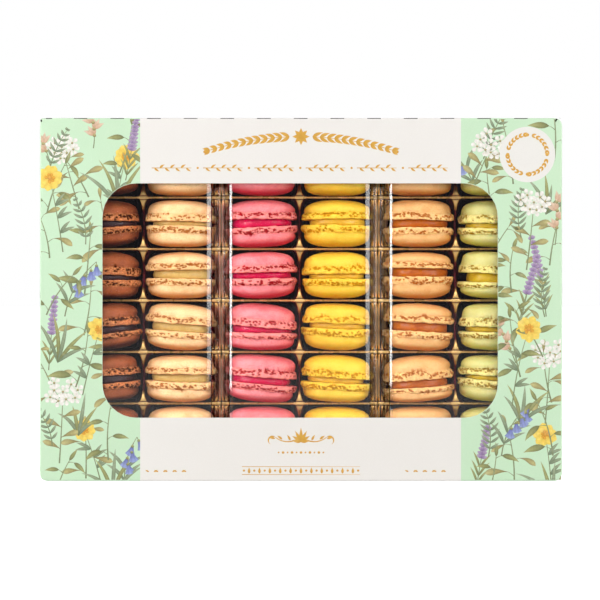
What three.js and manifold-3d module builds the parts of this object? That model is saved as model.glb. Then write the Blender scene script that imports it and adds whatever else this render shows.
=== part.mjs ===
// A window carton of thirty-six macarons in three lidded trays, in millimetres with +Z up.
// The carton stands on its long bottom panel and looks towards -Y through its window.
// The origin is the middle of the carton's underside, on the surface that it stands on.
import * as THREE from 'three';
import { mergeVertices } from 'three/addons/utils/BufferGeometryUtils.js';
import Module from 'manifold-3d';

const wasm = await Module();
wasm.setup();

// Carton of thin folded board
const CARTON_WIDTH = 292;
const CARTON_DEPTH = 48;
const CARTON_HEIGHT = 203;
const BOARD = 0.8;
const WINDOW_WIDTH = 221;
const WINDOW_HEIGHT = 131;
const WINDOW_RADIUS = 19;
const WINDOW_CENTRE_X = -0.5;
const WINDOW_CENTRE_Z = 100.9;

// Room that is left between pieces that rest on each other
const GAP = 0.3;
// How far a cutting solid runs past the face that it cuts
const CUT_MARGIN = 1;
// Facets to a quarter turn on the window's corners, on trays and lids, and on pockets
const WINDOW_STEPS = 6;
const SHEET_STEPS = 2;
const POCKET_STEPS = 1;

// Three formed trays side by side, each with two columns of pockets
const TRAY_NAMES = ['left', 'middle', 'right'];
const TRAY_PITCH = 88.9;
const TRAYS_SHIFT = -0.9;
const TRAY_HALF_WIDTH = (TRAY_PITCH - GAP) / 2;
const TRAY_CENTRE_Z = WINDOW_CENTRE_Z;
const TRAY_HALF_HEIGHT = TRAY_CENTRE_Z - BOARD - GAP;
const TRAY_CORNER = 6;
const SHEET = 0.5;

// Pockets that open towards the window at the middle plane of the macarons
const ROWS = 6;
const ROW_PITCH = 29.3;
const COLUMN_HALF_PITCH = 21.2;
const POCKET_HALF_WIDTH = 20.6;
const POCKET_HALF_HEIGHT = 13.95;
const POCKET_CORNER = 4.5;
const POCKET_TAPER = 1.6;
const POCKET_SHOULDER = 14;
const POCKET_DEPTH = 20.4;
const POCKET_FLOOR_ROUND = 5;

// Scooped dips in the divider between the two columns
const SCOOP_HALF_HEIGHT = 7;
const SCOOP_DEPTH = 7.5;
const SCOOP_REACH = 5;
const SCOOP_STEPS = 4;

// Clear lids over the trays
const LID_BASE_HALF_WIDTH = 43;
const LID_BASE_HALF_HEIGHT = 96.5;
const LID_TOP_HALF_WIDTH = 38.7;
const LID_TOP_HALF_HEIGHT = 92.2;
const LID_HEIGHT = 20.7;
const LID_EDGE_ROUND = 1.6;
const LID_CORNER = 6;
const LID_SHIFTS = [0, 0, 0.8];

// Macarons: two domed shells with a raised foot each, on an inset filling
const MACARON_SEGMENTS = 10;
const MACARON_DROP = 0.35;
const SIZE_SPREAD = 0.012;
const SHIFT_SPREAD = 0.2;
const DRAW_SEED = 36;

// Upper half of a macaron's section from the top of its dome, over the shoulder and the foot,
// to the inset side of the filling, as radius and height
const HALF_OUTLINE = [
  [0, 12.9],
  [9.5, 12.3],
  [16.2, 10.4],
  [18.8, 6.4],
  [19.5, 5],
  [19.3, 2.3],
  [16.9, 2.1],
];

// Flavours by column from left to right, with the lean in degrees of the upper and the lower
// shell in each row from the top, where a positive lean brings the right side down
const FLAVOURS = [
  { name: 'chocolate', colour: 0x8a4f35, upper: [1, 0, 0, -4, -5, 1], lower: [0, -5, 0, -6, -5, 2] },
  { name: 'vanilla', colour: 0xf2cd93, upper: [0, 1, -1, 5, 1, 0], lower: [1, 1, 1, 4, 2, 1] },
  { name: 'raspberry', colour: 0xf07f86, upper: [0, 0, -1, 5, 5, 1], lower: [1, -3, -1, 1, 5, 0] },
  { name: 'lemon', colour: 0xf0cd35, upper: [1, -1, -1, 2, 4, 1], lower: [0, 1, 0, 2, 3, 0] },
  { name: 'caramel', colour: 0xf0b878, upper: [1, 1, 1, 3, -4, 0], lower: [0, 0, 0, 3, -4, 1] },
  { name: 'pistachio', colour: 0xd6d688, upper: [0, 1, 4, 3, 3, -1], lower: [1, 3, 2, 1, 5, 0] },
];

const BOARD_LOOK = { color: 0xcdebcb, roughness: 0.5, metalness: 0 };
const TRAY_LOOK = { color: 0xc9a45c, roughness: 0.25, metalness: 1 };
const LID_LOOK = { color: 0xf4f8fa, roughness: 0.05, metalness: 0, transparent: true, opacity: 0.2 };
const CRUST_ROUGHNESS = 0.65;

// Seeded draw of an even number from -1 to 1
function makeDraw(seed) {
  let state = seed;
  return () => {
    state = (state * 16807) % 2147483647;
    return (2 * state) / 2147483647 - 1;
  };
}

// Leaves only the places of a geometry's corners, each corner once
function weld(geometry) {
  const bare = geometry.clone();
  bare.deleteAttribute('normal');
  bare.deleteAttribute('uv');
  return mergeVertices(bare, 1e-4);
}

function toSolid(geometry) {
  const welded = weld(geometry);
  return new wasm.Manifold(new wasm.Mesh({
    numProp: 3,
    vertProperties: new Float32Array(welded.attributes.position.array),
    triVerts: new Uint32Array(welded.index.array),
  }));
}

function toGeometry(solid) {
  const mesh = solid.getMesh();
  const geometry = new THREE.BufferGeometry();
  geometry.setAttribute('position', new THREE.BufferAttribute(new Float32Array(mesh.vertProperties), 3));
  geometry.setIndex(new THREE.BufferAttribute(new Uint32Array(mesh.triVerts), 1));
  geometry.computeVertexNormals();
  return geometry;
}

// Corner points of a rounded rectangle in the XZ plane at depth y, anticlockwise from the front
function roundedRing(halfX, halfZ, radius, y, steps) {
  const points = [];
  for (let corner = 0; corner < 4; corner += 1) {
    const start = (corner * Math.PI) / 2;
    const signX = corner === 0 || corner === 3 ? 1 : -1;
    const signZ = corner < 2 ? 1 : -1;
    for (let step = 0; step <= steps; step += 1) {
      const angle = start + (step * Math.PI) / 2 / steps;
      const x = signX * (halfX - radius) + radius * Math.cos(angle);
      const z = signZ * (halfZ - radius) + radius * Math.sin(angle);
      points.push([x, y, z]);
    }
  }
  return points;
}

// Closed skin over rings of equal count, from the front ring to the back one
function loft(rings) {
  const count = rings[0].length;
  const triangles = [];
  for (let level = 0; level + 1 < rings.length; level += 1) {
    for (let i = 0; i < count; i += 1) {
      const a = level * count + i;
      const b = level * count + ((i + 1) % count);
      triangles.push(a, a + count, b, b, a + count, b + count);
    }
  }
  const last = (rings.length - 1) * count;
  for (let i = 1; i + 1 < count; i += 1) {
    triangles.push(0, i, i + 1);
    triangles.push(last, last + i + 1, last + i);
  }
  const geometry = new THREE.BufferGeometry();
  geometry.setAttribute('position', new THREE.Float32BufferAttribute(rings.flat(2), 3));
  geometry.setIndex(triangles);
  return toSolid(geometry);
}

function slab(halfX, halfZ, radius, front, back, steps) {
  return loft([
    roundedRing(halfX, halfZ, radius, front, steps),
    roundedRing(halfX, halfZ, radius, back, steps),
  ]);
}

function joined(solids) {
  return solids.reduce((sum, solid) => sum.add(solid));
}

// The folded board as one hollow shell with its window cut through the front panel
function cartonGeometry() {
  const outer = toSolid(new THREE.BoxGeometry(CARTON_WIDTH, CARTON_DEPTH, CARTON_HEIGHT));
  const inner = toSolid(new THREE.BoxGeometry(
    CARTON_WIDTH - 2 * BOARD,
    CARTON_DEPTH - 2 * BOARD,
    CARTON_HEIGHT - 2 * BOARD,
  ));
  const opening = slab(
    WINDOW_WIDTH / 2,
    WINDOW_HEIGHT / 2,
    WINDOW_RADIUS,
    -CARTON_DEPTH / 2 - CUT_MARGIN,
    -CARTON_DEPTH / 2 + BOARD + CUT_MARGIN,
    WINDOW_STEPS,
  );
  const placed = opening.translate([WINDOW_CENTRE_X, 0, WINDOW_CENTRE_Z - CARTON_HEIGHT / 2]);
  return toGeometry(outer.subtract(inner).subtract(placed));
}

// Where a formed solid starts: at the sheet's front face, or before it where it cuts the sheet
function mouthOf(grow) {
  return grow > 0 ? -SHEET / 2 : -CUT_MARGIN;
}

// One pocket as a solid that is grown by the sheet's thickness for the outside
function pocket(grow) {
  const steps = POCKET_STEPS;
  const halfX = POCKET_HALF_WIDTH + grow;
  const halfZ = POCKET_HALF_HEIGHT + grow;
  const corner = POCKET_CORNER + grow;
  const narrowX = halfX - POCKET_TAPER;
  const narrowZ = halfZ - POCKET_TAPER / 4;
  const floorX = narrowX - POCKET_FLOOR_ROUND;
  const floorZ = halfZ - POCKET_FLOOR_ROUND / 2;
  return loft([
    roundedRing(halfX, halfZ, corner, mouthOf(grow), steps),
    roundedRing(narrowX, narrowZ, corner, POCKET_SHOULDER, steps),
    roundedRing(floorX, floorZ, corner, POCKET_DEPTH + grow, steps),
  ]);
}

// One half-round channel that joins two pockets across the divider
function scoop(grow) {
  const halfZ = SCOOP_HALF_HEIGHT + grow;
  const depth = SCOOP_DEPTH + grow;
  const reach = grow > 0 ? SCOOP_REACH / 2 : SCOOP_REACH;
  const mouth = mouthOf(grow);
  const outline = new THREE.Shape();
  outline.moveTo(mouth, -halfZ);
  for (let step = 0; step <= SCOOP_STEPS; step += 1) {
    const angle = -Math.PI / 2 + (step * Math.PI) / SCOOP_STEPS;
    outline.lineTo(depth * Math.cos(angle), halfZ * Math.sin(angle));
  }
  outline.lineTo(mouth, halfZ);
  const geometry = new THREE.ExtrudeGeometry(outline, { depth: 2 * reach, bevelEnabled: false });
  const axes = new THREE.Matrix4().makeBasis(
    new THREE.Vector3(0, 1, 0),
    new THREE.Vector3(0, 0, 1),
    new THREE.Vector3(1, 0, 0),
  );
  geometry.translate(0, 0, -reach);
  geometry.applyMatrix4(axes);
  return toSolid(geometry);
}

function rowHeight(row) {
  return ((ROWS - 1) / 2 - row) * ROW_PITCH;
}

// A formed sheet: a flange with two columns of pockets and a dip between each pair
function trayGeometry() {
  const front = -SHEET / 2;
  const flange = slab(TRAY_HALF_WIDTH, TRAY_HALF_HEIGHT, TRAY_CORNER, front, front + SHEET, SHEET_STEPS);
  const outside = [flange];
  const inside = [];
  for (let row = 0; row < ROWS; row += 1) {
    const z = rowHeight(row);
    for (const side of [-1, 1]) {
      outside.push(pocket(SHEET).translate([side * COLUMN_HALF_PITCH, 0, z]));
      inside.push(pocket(0).translate([side * COLUMN_HALF_PITCH, 0, z]));
    }
    outside.push(scoop(SHEET).translate([0, 0, z]));
    inside.push(scoop(0).translate([0, 0, z]));
  }
  return toGeometry(joined(outside).subtract(joined(inside)));
}

// One ring of a lid's cover, smaller all round by inset
function coverRing(halfX, halfZ, corner, inset, y) {
  return roundedRing(halfX - inset, halfZ - inset, corner - inset, y, SHEET_STEPS);
}

// A lid's cover as a solid from its base to its flat top, smaller all round by inset
function cover(base, top, inset) {
  const round = LID_EDGE_ROUND;
  const shoulderX = LID_TOP_HALF_WIDTH + round;
  const shoulderZ = LID_TOP_HALF_HEIGHT + round;
  return loft([
    coverRing(LID_TOP_HALF_WIDTH, LID_TOP_HALF_HEIGHT, LID_CORNER - round, inset, top + inset),
    coverRing(shoulderX, shoulderZ, LID_CORNER, inset, top + inset + round),
    coverRing(LID_BASE_HALF_WIDTH, LID_BASE_HALF_HEIGHT, LID_CORNER, inset, base),
  ]);
}

// A drafted cover of the same sheet, with a rim that lies on the tray's flange
function lidGeometry() {
  const back = -SHEET / 2 - GAP;
  const top = back - LID_HEIGHT;
  const rim = slab(TRAY_HALF_WIDTH, TRAY_HALF_HEIGHT, TRAY_CORNER, back - SHEET, back, SHEET_STEPS);
  const outside = cover(back, top, 0);
  const inside = cover(back + CUT_MARGIN, top, SHEET);
  return toGeometry(rim.add(outside).subtract(inside));
}

// A whole macaron about its upright axis, each shell leaned by its own angle
function macaronGeometry(upperLean, lowerLean, widen, thicken, turn) {
  const halfOutline = (sign) => HALF_OUTLINE.map(
    ([radius, height]) => new THREE.Vector2(radius * widen, sign * height * thicken),
  );
  const outline = [...halfOutline(-1), ...halfOutline(1).reverse()];
  const geometry = new THREE.LatheGeometry(outline, MACARON_SEGMENTS);
  geometry.rotateX(Math.PI / 2);
  geometry.rotateZ(turn);
  const welded = weld(geometry);
  const places = welded.attributes.position;
  for (let i = 0; i < places.count; i += 1) {
    const x = places.getX(i);
    const z = places.getZ(i);
    const lean = THREE.MathUtils.degToRad(z > 0 ? upperLean : lowerLean);
    places.setX(i, x * Math.cos(lean) + z * Math.sin(lean));
    places.setZ(i, z * Math.cos(lean) - x * Math.sin(lean));
  }
  return toGeometry(toSolid(welded));
}

function addMesh(parent, name, geometry, look) {
  const mesh = new THREE.Mesh(geometry, new THREE.MeshStandardMaterial(look));
  mesh.name = name;
  parent.add(mesh);
  return mesh;
}

function addMacarons(tray, flavour, side, draw) {
  for (let row = 0; row < ROWS; row += 1) {
    const widen = 1 + SIZE_SPREAD * draw();
    const thicken = 1 + SIZE_SPREAD * draw();
    const turn = Math.PI * draw();
    const shift = SHIFT_SPREAD * draw();
    const geometry = macaronGeometry(flavour.upper[row], flavour.lower[row], widen, thicken, turn);
    const look = { color: flavour.colour, roughness: CRUST_ROUGHNESS, metalness: 0 };
    const mesh = addMesh(tray, `macaron_${flavour.name}_${row + 1}`, geometry, look);
    mesh.position.set(side * COLUMN_HALF_PITCH + shift, 0, rowHeight(row) - MACARON_DROP);
  }
}

function buildBox() {
  const box = new THREE.Group();
  const carton = addMesh(box, 'carton', cartonGeometry(), BOARD_LOOK);
  carton.position.z = CARTON_HEIGHT / 2;
  const trayShape = trayGeometry();
  const lidShape = lidGeometry();
  const draw = makeDraw(DRAW_SEED);
  TRAY_NAMES.forEach((name, index) => {
    const tray = new THREE.Group();
    tray.position.set(TRAYS_SHIFT + (index - 1) * TRAY_PITCH, 0, TRAY_CENTRE_Z);
    addMesh(tray, `tray_${name}`, trayShape.clone(), TRAY_LOOK);
    addMesh(tray, `lid_${name}`, lidShape.clone(), LID_LOOK).position.x = LID_SHIFTS[index];
    addMacarons(tray, FLAVOURS[2 * index], -1, draw);
    addMacarons(tray, FLAVOURS[2 * index + 1], 1, draw);
    box.add(tray);
  });
  return box;
}

export default buildBox();
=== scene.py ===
"""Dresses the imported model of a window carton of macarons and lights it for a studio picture."""

import logging
import math
from collections.abc import Callable, Iterator, Sequence
from contextlib import contextmanager
from dataclasses import dataclass, field, replace
from enum import Enum
from functools import cache, partial

import bpy
import numpy as np
from bpy.types import Material, Node, NodeSocket, NodeTree, Object
from mathutils import Matrix, Vector


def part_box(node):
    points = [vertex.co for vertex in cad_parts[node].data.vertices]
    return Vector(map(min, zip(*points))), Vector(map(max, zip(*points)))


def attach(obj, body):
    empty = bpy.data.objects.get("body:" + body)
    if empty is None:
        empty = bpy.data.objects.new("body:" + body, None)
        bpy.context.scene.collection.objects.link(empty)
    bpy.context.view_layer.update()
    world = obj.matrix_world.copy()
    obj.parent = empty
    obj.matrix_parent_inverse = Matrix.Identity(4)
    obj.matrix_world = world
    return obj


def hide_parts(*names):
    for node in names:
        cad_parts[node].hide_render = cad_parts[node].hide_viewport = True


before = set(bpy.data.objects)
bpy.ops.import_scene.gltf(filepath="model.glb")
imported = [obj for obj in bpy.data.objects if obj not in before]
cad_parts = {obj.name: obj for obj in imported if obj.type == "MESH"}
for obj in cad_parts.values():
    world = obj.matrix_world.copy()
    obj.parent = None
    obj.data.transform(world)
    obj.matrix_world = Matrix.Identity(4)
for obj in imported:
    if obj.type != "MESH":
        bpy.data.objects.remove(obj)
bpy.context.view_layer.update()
BODY = "root"

log = logging.getLogger("macaron_box")

# Every size below is in millimetres unless its name says otherwise, and the scene is in metres
MM = 0.001
DOUBLES = 1e-6

Colour = tuple[float, float, float]
Point = tuple[float, float]


def srgb(red: int, green: int, blue: int) -> Colour:
    """Turns a colour as seen on a screen into the linear one that shaders use.

    Args:
        red: Its red from 0 to 255.
        green: Its green from 0 to 255.
        blue: Its blue from 0 to 255.

    Returns:
        The linear colour.
    """
    return tuple(
        c / 12.92 if c <= 0.04045 else ((c + 0.055) / 1.055) ** 2.4
        for c in (red / 255, green / 255, blue / 255)
    )


def pick(*pieces: Object) -> None:
    """Selects pieces alone and makes the first one active.

    Args:
        *pieces: The pieces.
    """
    bpy.ops.object.select_all(action="DESELECT")
    for piece in pieces:
        piece.select_set(True)
    bpy.context.view_layer.objects.active = pieces[0]


@contextmanager
def editing(piece: Object) -> Iterator[None]:
    """Opens a piece in edit mode with all of it selected, and closes it again.

    Args:
        piece: The piece.

    Yields:
        Nothing, while the piece is open.
    """
    pick(piece)
    bpy.ops.object.mode_set(mode="EDIT")
    bpy.ops.mesh.select_all(action="SELECT")
    try:
        yield
    finally:
        bpy.ops.object.mode_set(mode="OBJECT")


def newest(name: str) -> Object:
    """Names the active piece, which was just added or joined.

    Args:
        name: Its new name.

    Returns:
        The piece.
    """
    piece = bpy.context.active_object
    piece.name = name
    piece.data.name = name
    return piece


def applied(piece: Object, kind: str, **settings: object) -> None:
    """Adds one modifier to a piece and applies it.

    Args:
        piece: The piece.
        kind: Type of the modifier.
        **settings: Its settings.
    """
    modifier = piece.modifiers.new(kind.title(), kind)
    for name, value in settings.items():
        setattr(modifier, name, value)
    pick(piece)
    bpy.ops.object.modifier_apply(modifier=modifier.name)


def places(piece: Object) -> np.ndarray:
    """Reads where a piece's vertices lie.

    Args:
        piece: The piece.

    Returns:
        One row of three millimetres for each vertex.
    """
    flat = np.empty(len(piece.data.vertices) * 3, np.float32)
    piece.data.vertices.foreach_get("co", flat)
    return flat.reshape(-1, 3).astype(float) / MM


def move_to(piece: Object, points: np.ndarray) -> None:
    """Moves a piece's vertices to the given places in millimetres."""
    piece.data.vertices.foreach_set("co", (points * MM).astype(np.float32).ravel())
    piece.data.update()


def set_values(piece: Object, name: str, values: np.ndarray) -> None:
    """Stores one number for each vertex under a name that materials read."""
    attribute = piece.data.attributes.new(name, "FLOAT", "POINT")
    attribute.data.foreach_set("value", values.astype(np.float32))


def copied(piece: Object, name: str) -> Object:
    """Copies a piece with its mesh.

    Args:
        piece: The piece.
        name: Name of the copy.

    Returns:
        The copy.
    """
    twin = bpy.data.objects.new(name, piece.data.copy())
    twin.data.name = name
    bpy.context.scene.collection.objects.link(twin)
    return twin


def dressed(piece: Object, *materials: Material) -> Object:
    """Gives a piece its materials in place of any that it has.

    Args:
        piece: The piece.
        *materials: The materials.

    Returns:
        The piece.
    """
    piece.data.materials.clear()
    for material in materials:
        piece.data.materials.append(material)
    return piece


def smoothed(piece: Object, angle_deg: float) -> None:
    """Shades a piece smooth across edges that turn by less than the given angle."""
    pick(piece)
    bpy.ops.object.shade_smooth_by_angle(angle=math.radians(angle_deg))


def registered(piece: Object, slot: str, *nodes: str) -> None:
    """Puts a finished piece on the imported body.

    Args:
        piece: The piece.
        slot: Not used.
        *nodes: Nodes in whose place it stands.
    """
    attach(piece, BODY)
    if nodes:
        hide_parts(*nodes)
    log.info("%s: %d faces", piece.name, len(piece.data.polygons))


def turned(name: str, outline: Sequence[Point], steps: int) -> Object:
    """Spins an outline about the upright axis into a closed skin.

    Args:
        name: Name of the new piece.
        outline: Radius and height in millimetres, from the lower pole to the upper one.
        steps: Facets around.

    Returns:
        The skin, centred on the origin.
    """
    bpy.ops.mesh.primitive_plane_add(size=MM)
    piece = newest(name)
    with editing(piece):
        bpy.ops.mesh.merge(type="CENTER")
        bpy.ops.transform.translate(value=(outline[0][0] * MM, 0, outline[0][1] * MM))
        for here, there in zip(outline, outline[1:]):
            step = ((there[0] - here[0]) * MM, 0, (there[1] - here[1]) * MM)
            bpy.ops.mesh.extrude_region_move(TRANSFORM_OT_translate={"value": step})
        bpy.ops.mesh.select_all(action="SELECT")
        bpy.ops.mesh.spin(steps=steps, angle=math.tau, center=(0, 0, 0), axis=(0, 0, 1))
        bpy.ops.mesh.select_all(action="SELECT")
        bpy.ops.mesh.remove_doubles(threshold=DOUBLES)
        bpy.ops.mesh.normals_make_consistent(inside=False)
    return piece


def moulded(name: str, rings: Sequence[np.ndarray], fill_last: bool = False,
            fill_first: bool = False) -> Object:
    """Draws a sleeve by one extrusion for each ring and moulds each ring to its outline.

    Args:
        name: Name of the new piece.
        rings: Rings of equal count, each with one row of three millimetres for each point.
        fill_last: Whether the last ring is closed by a face.
        fill_first: Whether the first ring is closed by a face.

    Returns:
        The moulded sheet, with its ring numbers stored under "ring".
    """
    count = len(rings[0])
    fill = "NGON" if fill_first else "NOTHING"
    bpy.ops.mesh.primitive_circle_add(vertices=count, radius=1.0, fill_type=fill)
    piece = newest(name)
    with editing(piece):
        bpy.ops.mesh.select_mode(type="EDGE")
        for _ in rings[1:]:
            bpy.ops.mesh.extrude_edges_move(TRANSFORM_OT_translate={"value": (0, 0, 1)})
        if fill_last:
            bpy.ops.mesh.edge_face_add()
        bpy.ops.mesh.select_mode(type="VERT")
    sleeve = places(piece) * MM
    level = np.rint(sleeve[:, 2]).astype(int)
    turn = np.arctan2(sleeve[:, 1], sleeve[:, 0]) / math.tau * count
    index = np.rint(turn).astype(int) % count
    move_to(piece, np.stack(rings)[level, index])
    set_values(piece, "ring", level)
    return piece


def facing(piece: Object, direction: Vector, beside: Vector) -> None:
    """Turns an open sheet the right way out.

    Args:
        piece: The sheet.
        direction: Where one of its faces looks.
        beside: A place that this face is the nearest to.
    """
    near = min(piece.data.polygons, key=lambda face: (face.center - beside * MM).length)
    if near.normal.dot(direction) < 0:
        with editing(piece):
            bpy.ops.mesh.flip_normals()


@dataclass(frozen=True)
class Counts:
    """How many steps a ring takes along its long sides, its short sides and each corner."""

    long: int
    short: int
    corner: int


@dataclass(frozen=True)
class Outline:
    """A rectangle in the upright plane with elliptic corners, as a ring of points."""

    left: float
    right: float
    bottom: float
    top: float
    corner_x: float
    corner_z: float

    LEAST_CORNER = 0.05

    @classmethod
    def centred(cls, half_x: float, half_z: float, corner: float, corner_z: float = 0.0) -> "Outline":
        """Returns the outline about the origin with the given half sizes."""
        return cls(-half_x, half_x, -half_z, half_z, corner, corner_z or corner)

    def grown(self, by: float) -> "Outline":
        """Returns this outline moved out by a distance on every side."""
        corners = (max(corner + by, self.LEAST_CORNER) for corner in (self.corner_x, self.corner_z))
        return Outline(self.left - by, self.right + by, self.bottom - by, self.top + by, *corners)

    def ring(self, counts: Counts, y: float, square: "Outline | None" = None) -> np.ndarray:
        """Draws the ring anticlockwise as seen from the front, from the right side on.

        Args:
            counts: Steps along the sides and corners.
            y: Depth of the ring.
            square: A rectangle to spread the same points over instead, corner on corner.

        Returns:
            The ring's points.
        """
        inner = (
            self.left + self.corner_x, self.right - self.corner_x,
            self.bottom + self.corner_z, self.top - self.corner_z,
        )
        bounds = square or self
        points = []
        sides = ((1, 1, counts.short), (-1, 1, counts.long), (-1, -1, counts.short), (1, -1, counts.long))
        for number, (sign_x, sign_z, steps) in enumerate(sides):
            corner_in = (inner[1] if sign_x > 0 else inner[0], inner[3] if sign_z > 0 else inner[2])
            out = (bounds.right if sign_x > 0 else bounds.left, bounds.top if sign_z > 0 else bounds.bottom)
            upright = number % 2 == 0
            start = inner[2:][::sign_z] if upright else inner[:2][::-1][::sign_z]
            for step in range(steps):
                along = start[0] + (start[1] - start[0]) * step / steps
                points.append((out[0], along) if upright else (along, out[1]))
            for step in range(counts.corner):
                t = step / counts.corner
                points.append(self._corner(corner_in, out, t, upright, square is not None))
        return np.array([(x, y, z) for x, z in points])

    def _corner(self, centre: Point, out: Point, t: float, upright: bool, square: bool) -> Point:
        """Finds a point on a corner.

        Args:
            centre: Centre of the corner's curve.
            out: The sharp corner outside of it.
            t: The point's share of the way round.
            upright: Whether the way starts from an upright side.
            square: Whether it follows the two square legs in place of the curve.

        Returns:
            The point.
        """
        if not square:
            angle = t * math.pi / 2 if upright else (1 - t) * math.pi / 2
            shares = math.cos(angle), math.sin(angle)
        else:
            first, second = min(1.0, 2 * t), max(0.0, 2 * t - 1)
            shares = (1 - second, first) if upright else (first, 1 - second)
        return tuple(inner + (outer - inner) * share for inner, outer, share in zip(centre, out, shares))


def shifted(ring: np.ndarray, x: float, z: float) -> np.ndarray:
    """Returns a ring moved across the upright plane."""
    return ring + np.array((x, 0.0, z))


def smooth_step(values: np.ndarray, low: float, high: float) -> np.ndarray:
    """Returns 0 below the low bound, 1 above the high one, and a smooth rise between."""
    t = np.clip((values - low) / (high - low), 0, 1)
    return t * t * (3 - 2 * t)


class LatticeNoise:
    """Smooth seeded noise from -1 to 1 over a plane whose first direction closes on itself."""

    def __init__(self, seed: int, around: int, up: int) -> None:
        """Draws the lattice.

        Args:
            seed: Seed of the draw.
            around: Cells around, after which the noise repeats.
            up: Cells upwards.
        """
        self.values = np.random.default_rng(seed).uniform(-1, 1, (around, up + 2))

    def __call__(self, turn: np.ndarray, rise: np.ndarray) -> np.ndarray:
        """Reads the noise.

        Args:
            turn: Shares of a turn.
            rise: Shares of the height.

        Returns:
            The noise at each.
        """
        around, up = self.values.shape
        u, v = turn * around, np.clip(rise, 0, 0.9999) * (up - 2)
        i, j = np.floor(u).astype(int), np.floor(v).astype(int)
        s, t = u - i, v - j
        s, t = s * s * (3 - 2 * s), t * t * (3 - 2 * t)
        i0, i1 = i % around, (i + 1) % around
        low = self.values[i0, j] * (1 - s) + self.values[i1, j] * s
        high = self.values[i0, j + 1] * (1 - s) + self.values[i1, j + 1] * s
        return low * (1 - t) + high * t


@dataclass(frozen=True)
class Value:
    """What a node puts out. Arithmetic on it adds the nodes that work it out."""

    nodes: "Nodes"
    socket: NodeSocket

    def __add__(self, other: "Value | float") -> "Value":
        """Adds another value."""
        return self.nodes.maths("ADD", self, other)

    def __sub__(self, other: "Value | float") -> "Value":
        """Takes another value off."""
        return self.nodes.maths("SUBTRACT", self, other)

    def __mul__(self, other: "Value | float") -> "Value":
        """Multiplies by another value."""
        return self.nodes.maths("MULTIPLY", self, other)

    def __gt__(self, other: float) -> "Value":
        """Gives 1 above a number and 0 below it."""
        return self.nodes.maths("GREATER_THAN", self, other)

    def __lt__(self, other: float) -> "Value":
        """Gives 1 below a number and 0 above it."""
        return self.nodes.maths("LESS_THAN", self, other)

    def most(self, other: "Value | float") -> "Value":
        """Gives the greater of this and another value."""
        return self.nodes.maths("MAXIMUM", self, other)

    def ramp(self, low: float, high: float, to_low: float = 0.0, to_high: float = 1.0) -> "Value":
        """Maps this value smoothly from between two bounds to a new range.

        Args:
            low: Bound that is mapped to to_low, as is all below it.
            high: Bound that is mapped to to_high, as is all above it.
            to_low: Result at the low bound.
            to_high: Result at the high bound.

        Returns:
            The mapped value.
        """
        feeds = dict(enumerate((self, low, high, to_low, to_high)))
        return self.nodes.out(self.nodes.add("MapRange", feeds, interpolation_type="SMOOTHSTEP"))


Feed = Value | float | Colour


class Nodes:
    """A node tree under construction, with short calls that add and join nodes."""

    def __init__(self, tree: NodeTree) -> None:
        """Takes a tree and empties it."""
        self.tree = tree
        tree.nodes.clear()

    def feed(self, socket: NodeSocket, value: Feed) -> None:
        """Joins a value to an input, or sets the input's own number or colour.

        Args:
            socket: The input.
            value: What it is given.
        """
        if isinstance(value, Value):
            self.tree.links.new(value.socket, socket)
        else:
            socket.default_value = (*value, 1.0) if socket.type == "RGBA" else value

    def add(self, kind: str, feeds: dict[str | int, Feed] | None = None, **options: object) -> Node:
        """Adds a node.

        Args:
            kind: Type of the node, without the words that every type starts with.
            feeds: What its inputs are given, by name or number.
            **options: Its other settings.

        Returns:
            The node.
        """
        node = self.tree.nodes.new(f"ShaderNode{kind}")
        for name, value in options.items():
            setattr(node, name, value)
        for key, value in (feeds or {}).items():
            self.feed(node.inputs[key], value)
        return node

    def out(self, node: Node, key: str | int = 0) -> Value:
        """Returns one of a node's outputs."""
        return Value(self, node.outputs[key])

    def read(self, kind: str, output: str, **options: object) -> Value:
        """Adds a node without inputs and returns one of its outputs."""
        return self.out(self.add(kind, **options), output)

    def maths(self, operation: str, *values: Value | float, clamp: bool = False) -> Value:
        """Joins values by an operation."""
        return self.out(self.add("Math", dict(enumerate(values)), operation=operation, use_clamp=clamp))

    def mix(self, share: Feed, low: Feed, high: Feed, blend: str = "MIX") -> Value:
        """Mixes two colours by a share."""
        node = self.add("Mix", {0: share, 6: low, 7: high}, data_type="RGBA", blend_type=blend)
        return self.out(node, 2)

    def axis(self, name: str, output: str = "Object") -> Value:
        """Reads how far along an axis a point of the piece lies, in metres."""
        return self.out(self.add("SeparateXYZ", {0: self.read("TexCoord", output)}), name)

    def noise(self, size_mm: Feed, detail: float, squash: float = 1.0, roughness: float = 0.5,
              distortion: float = 0.0) -> Value:
        """Reads noise over the piece.

        Args:
            size_mm: Size of its features.
            detail: How many finer octaves it has.
            squash: How many times lower than wide its features are.
            roughness: Share of the finer octaves.
            distortion: How much it is warped.

        Returns:
            The noise from 0 to 1.
        """
        stretch = {0: self.read("TexCoord", "Object"), 1: (1.0, 1.0, squash)}
        where = self.out(self.add("VectorMath", stretch, operation="MULTIPLY"))
        feeds = {"Vector": where, "Scale": self.maths("DIVIDE", 1 / MM, size_mm), "Detail": detail,
                 "Roughness": roughness, "Distortion": distortion}
        return self.out(self.add("TexNoise", feeds))


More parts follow.
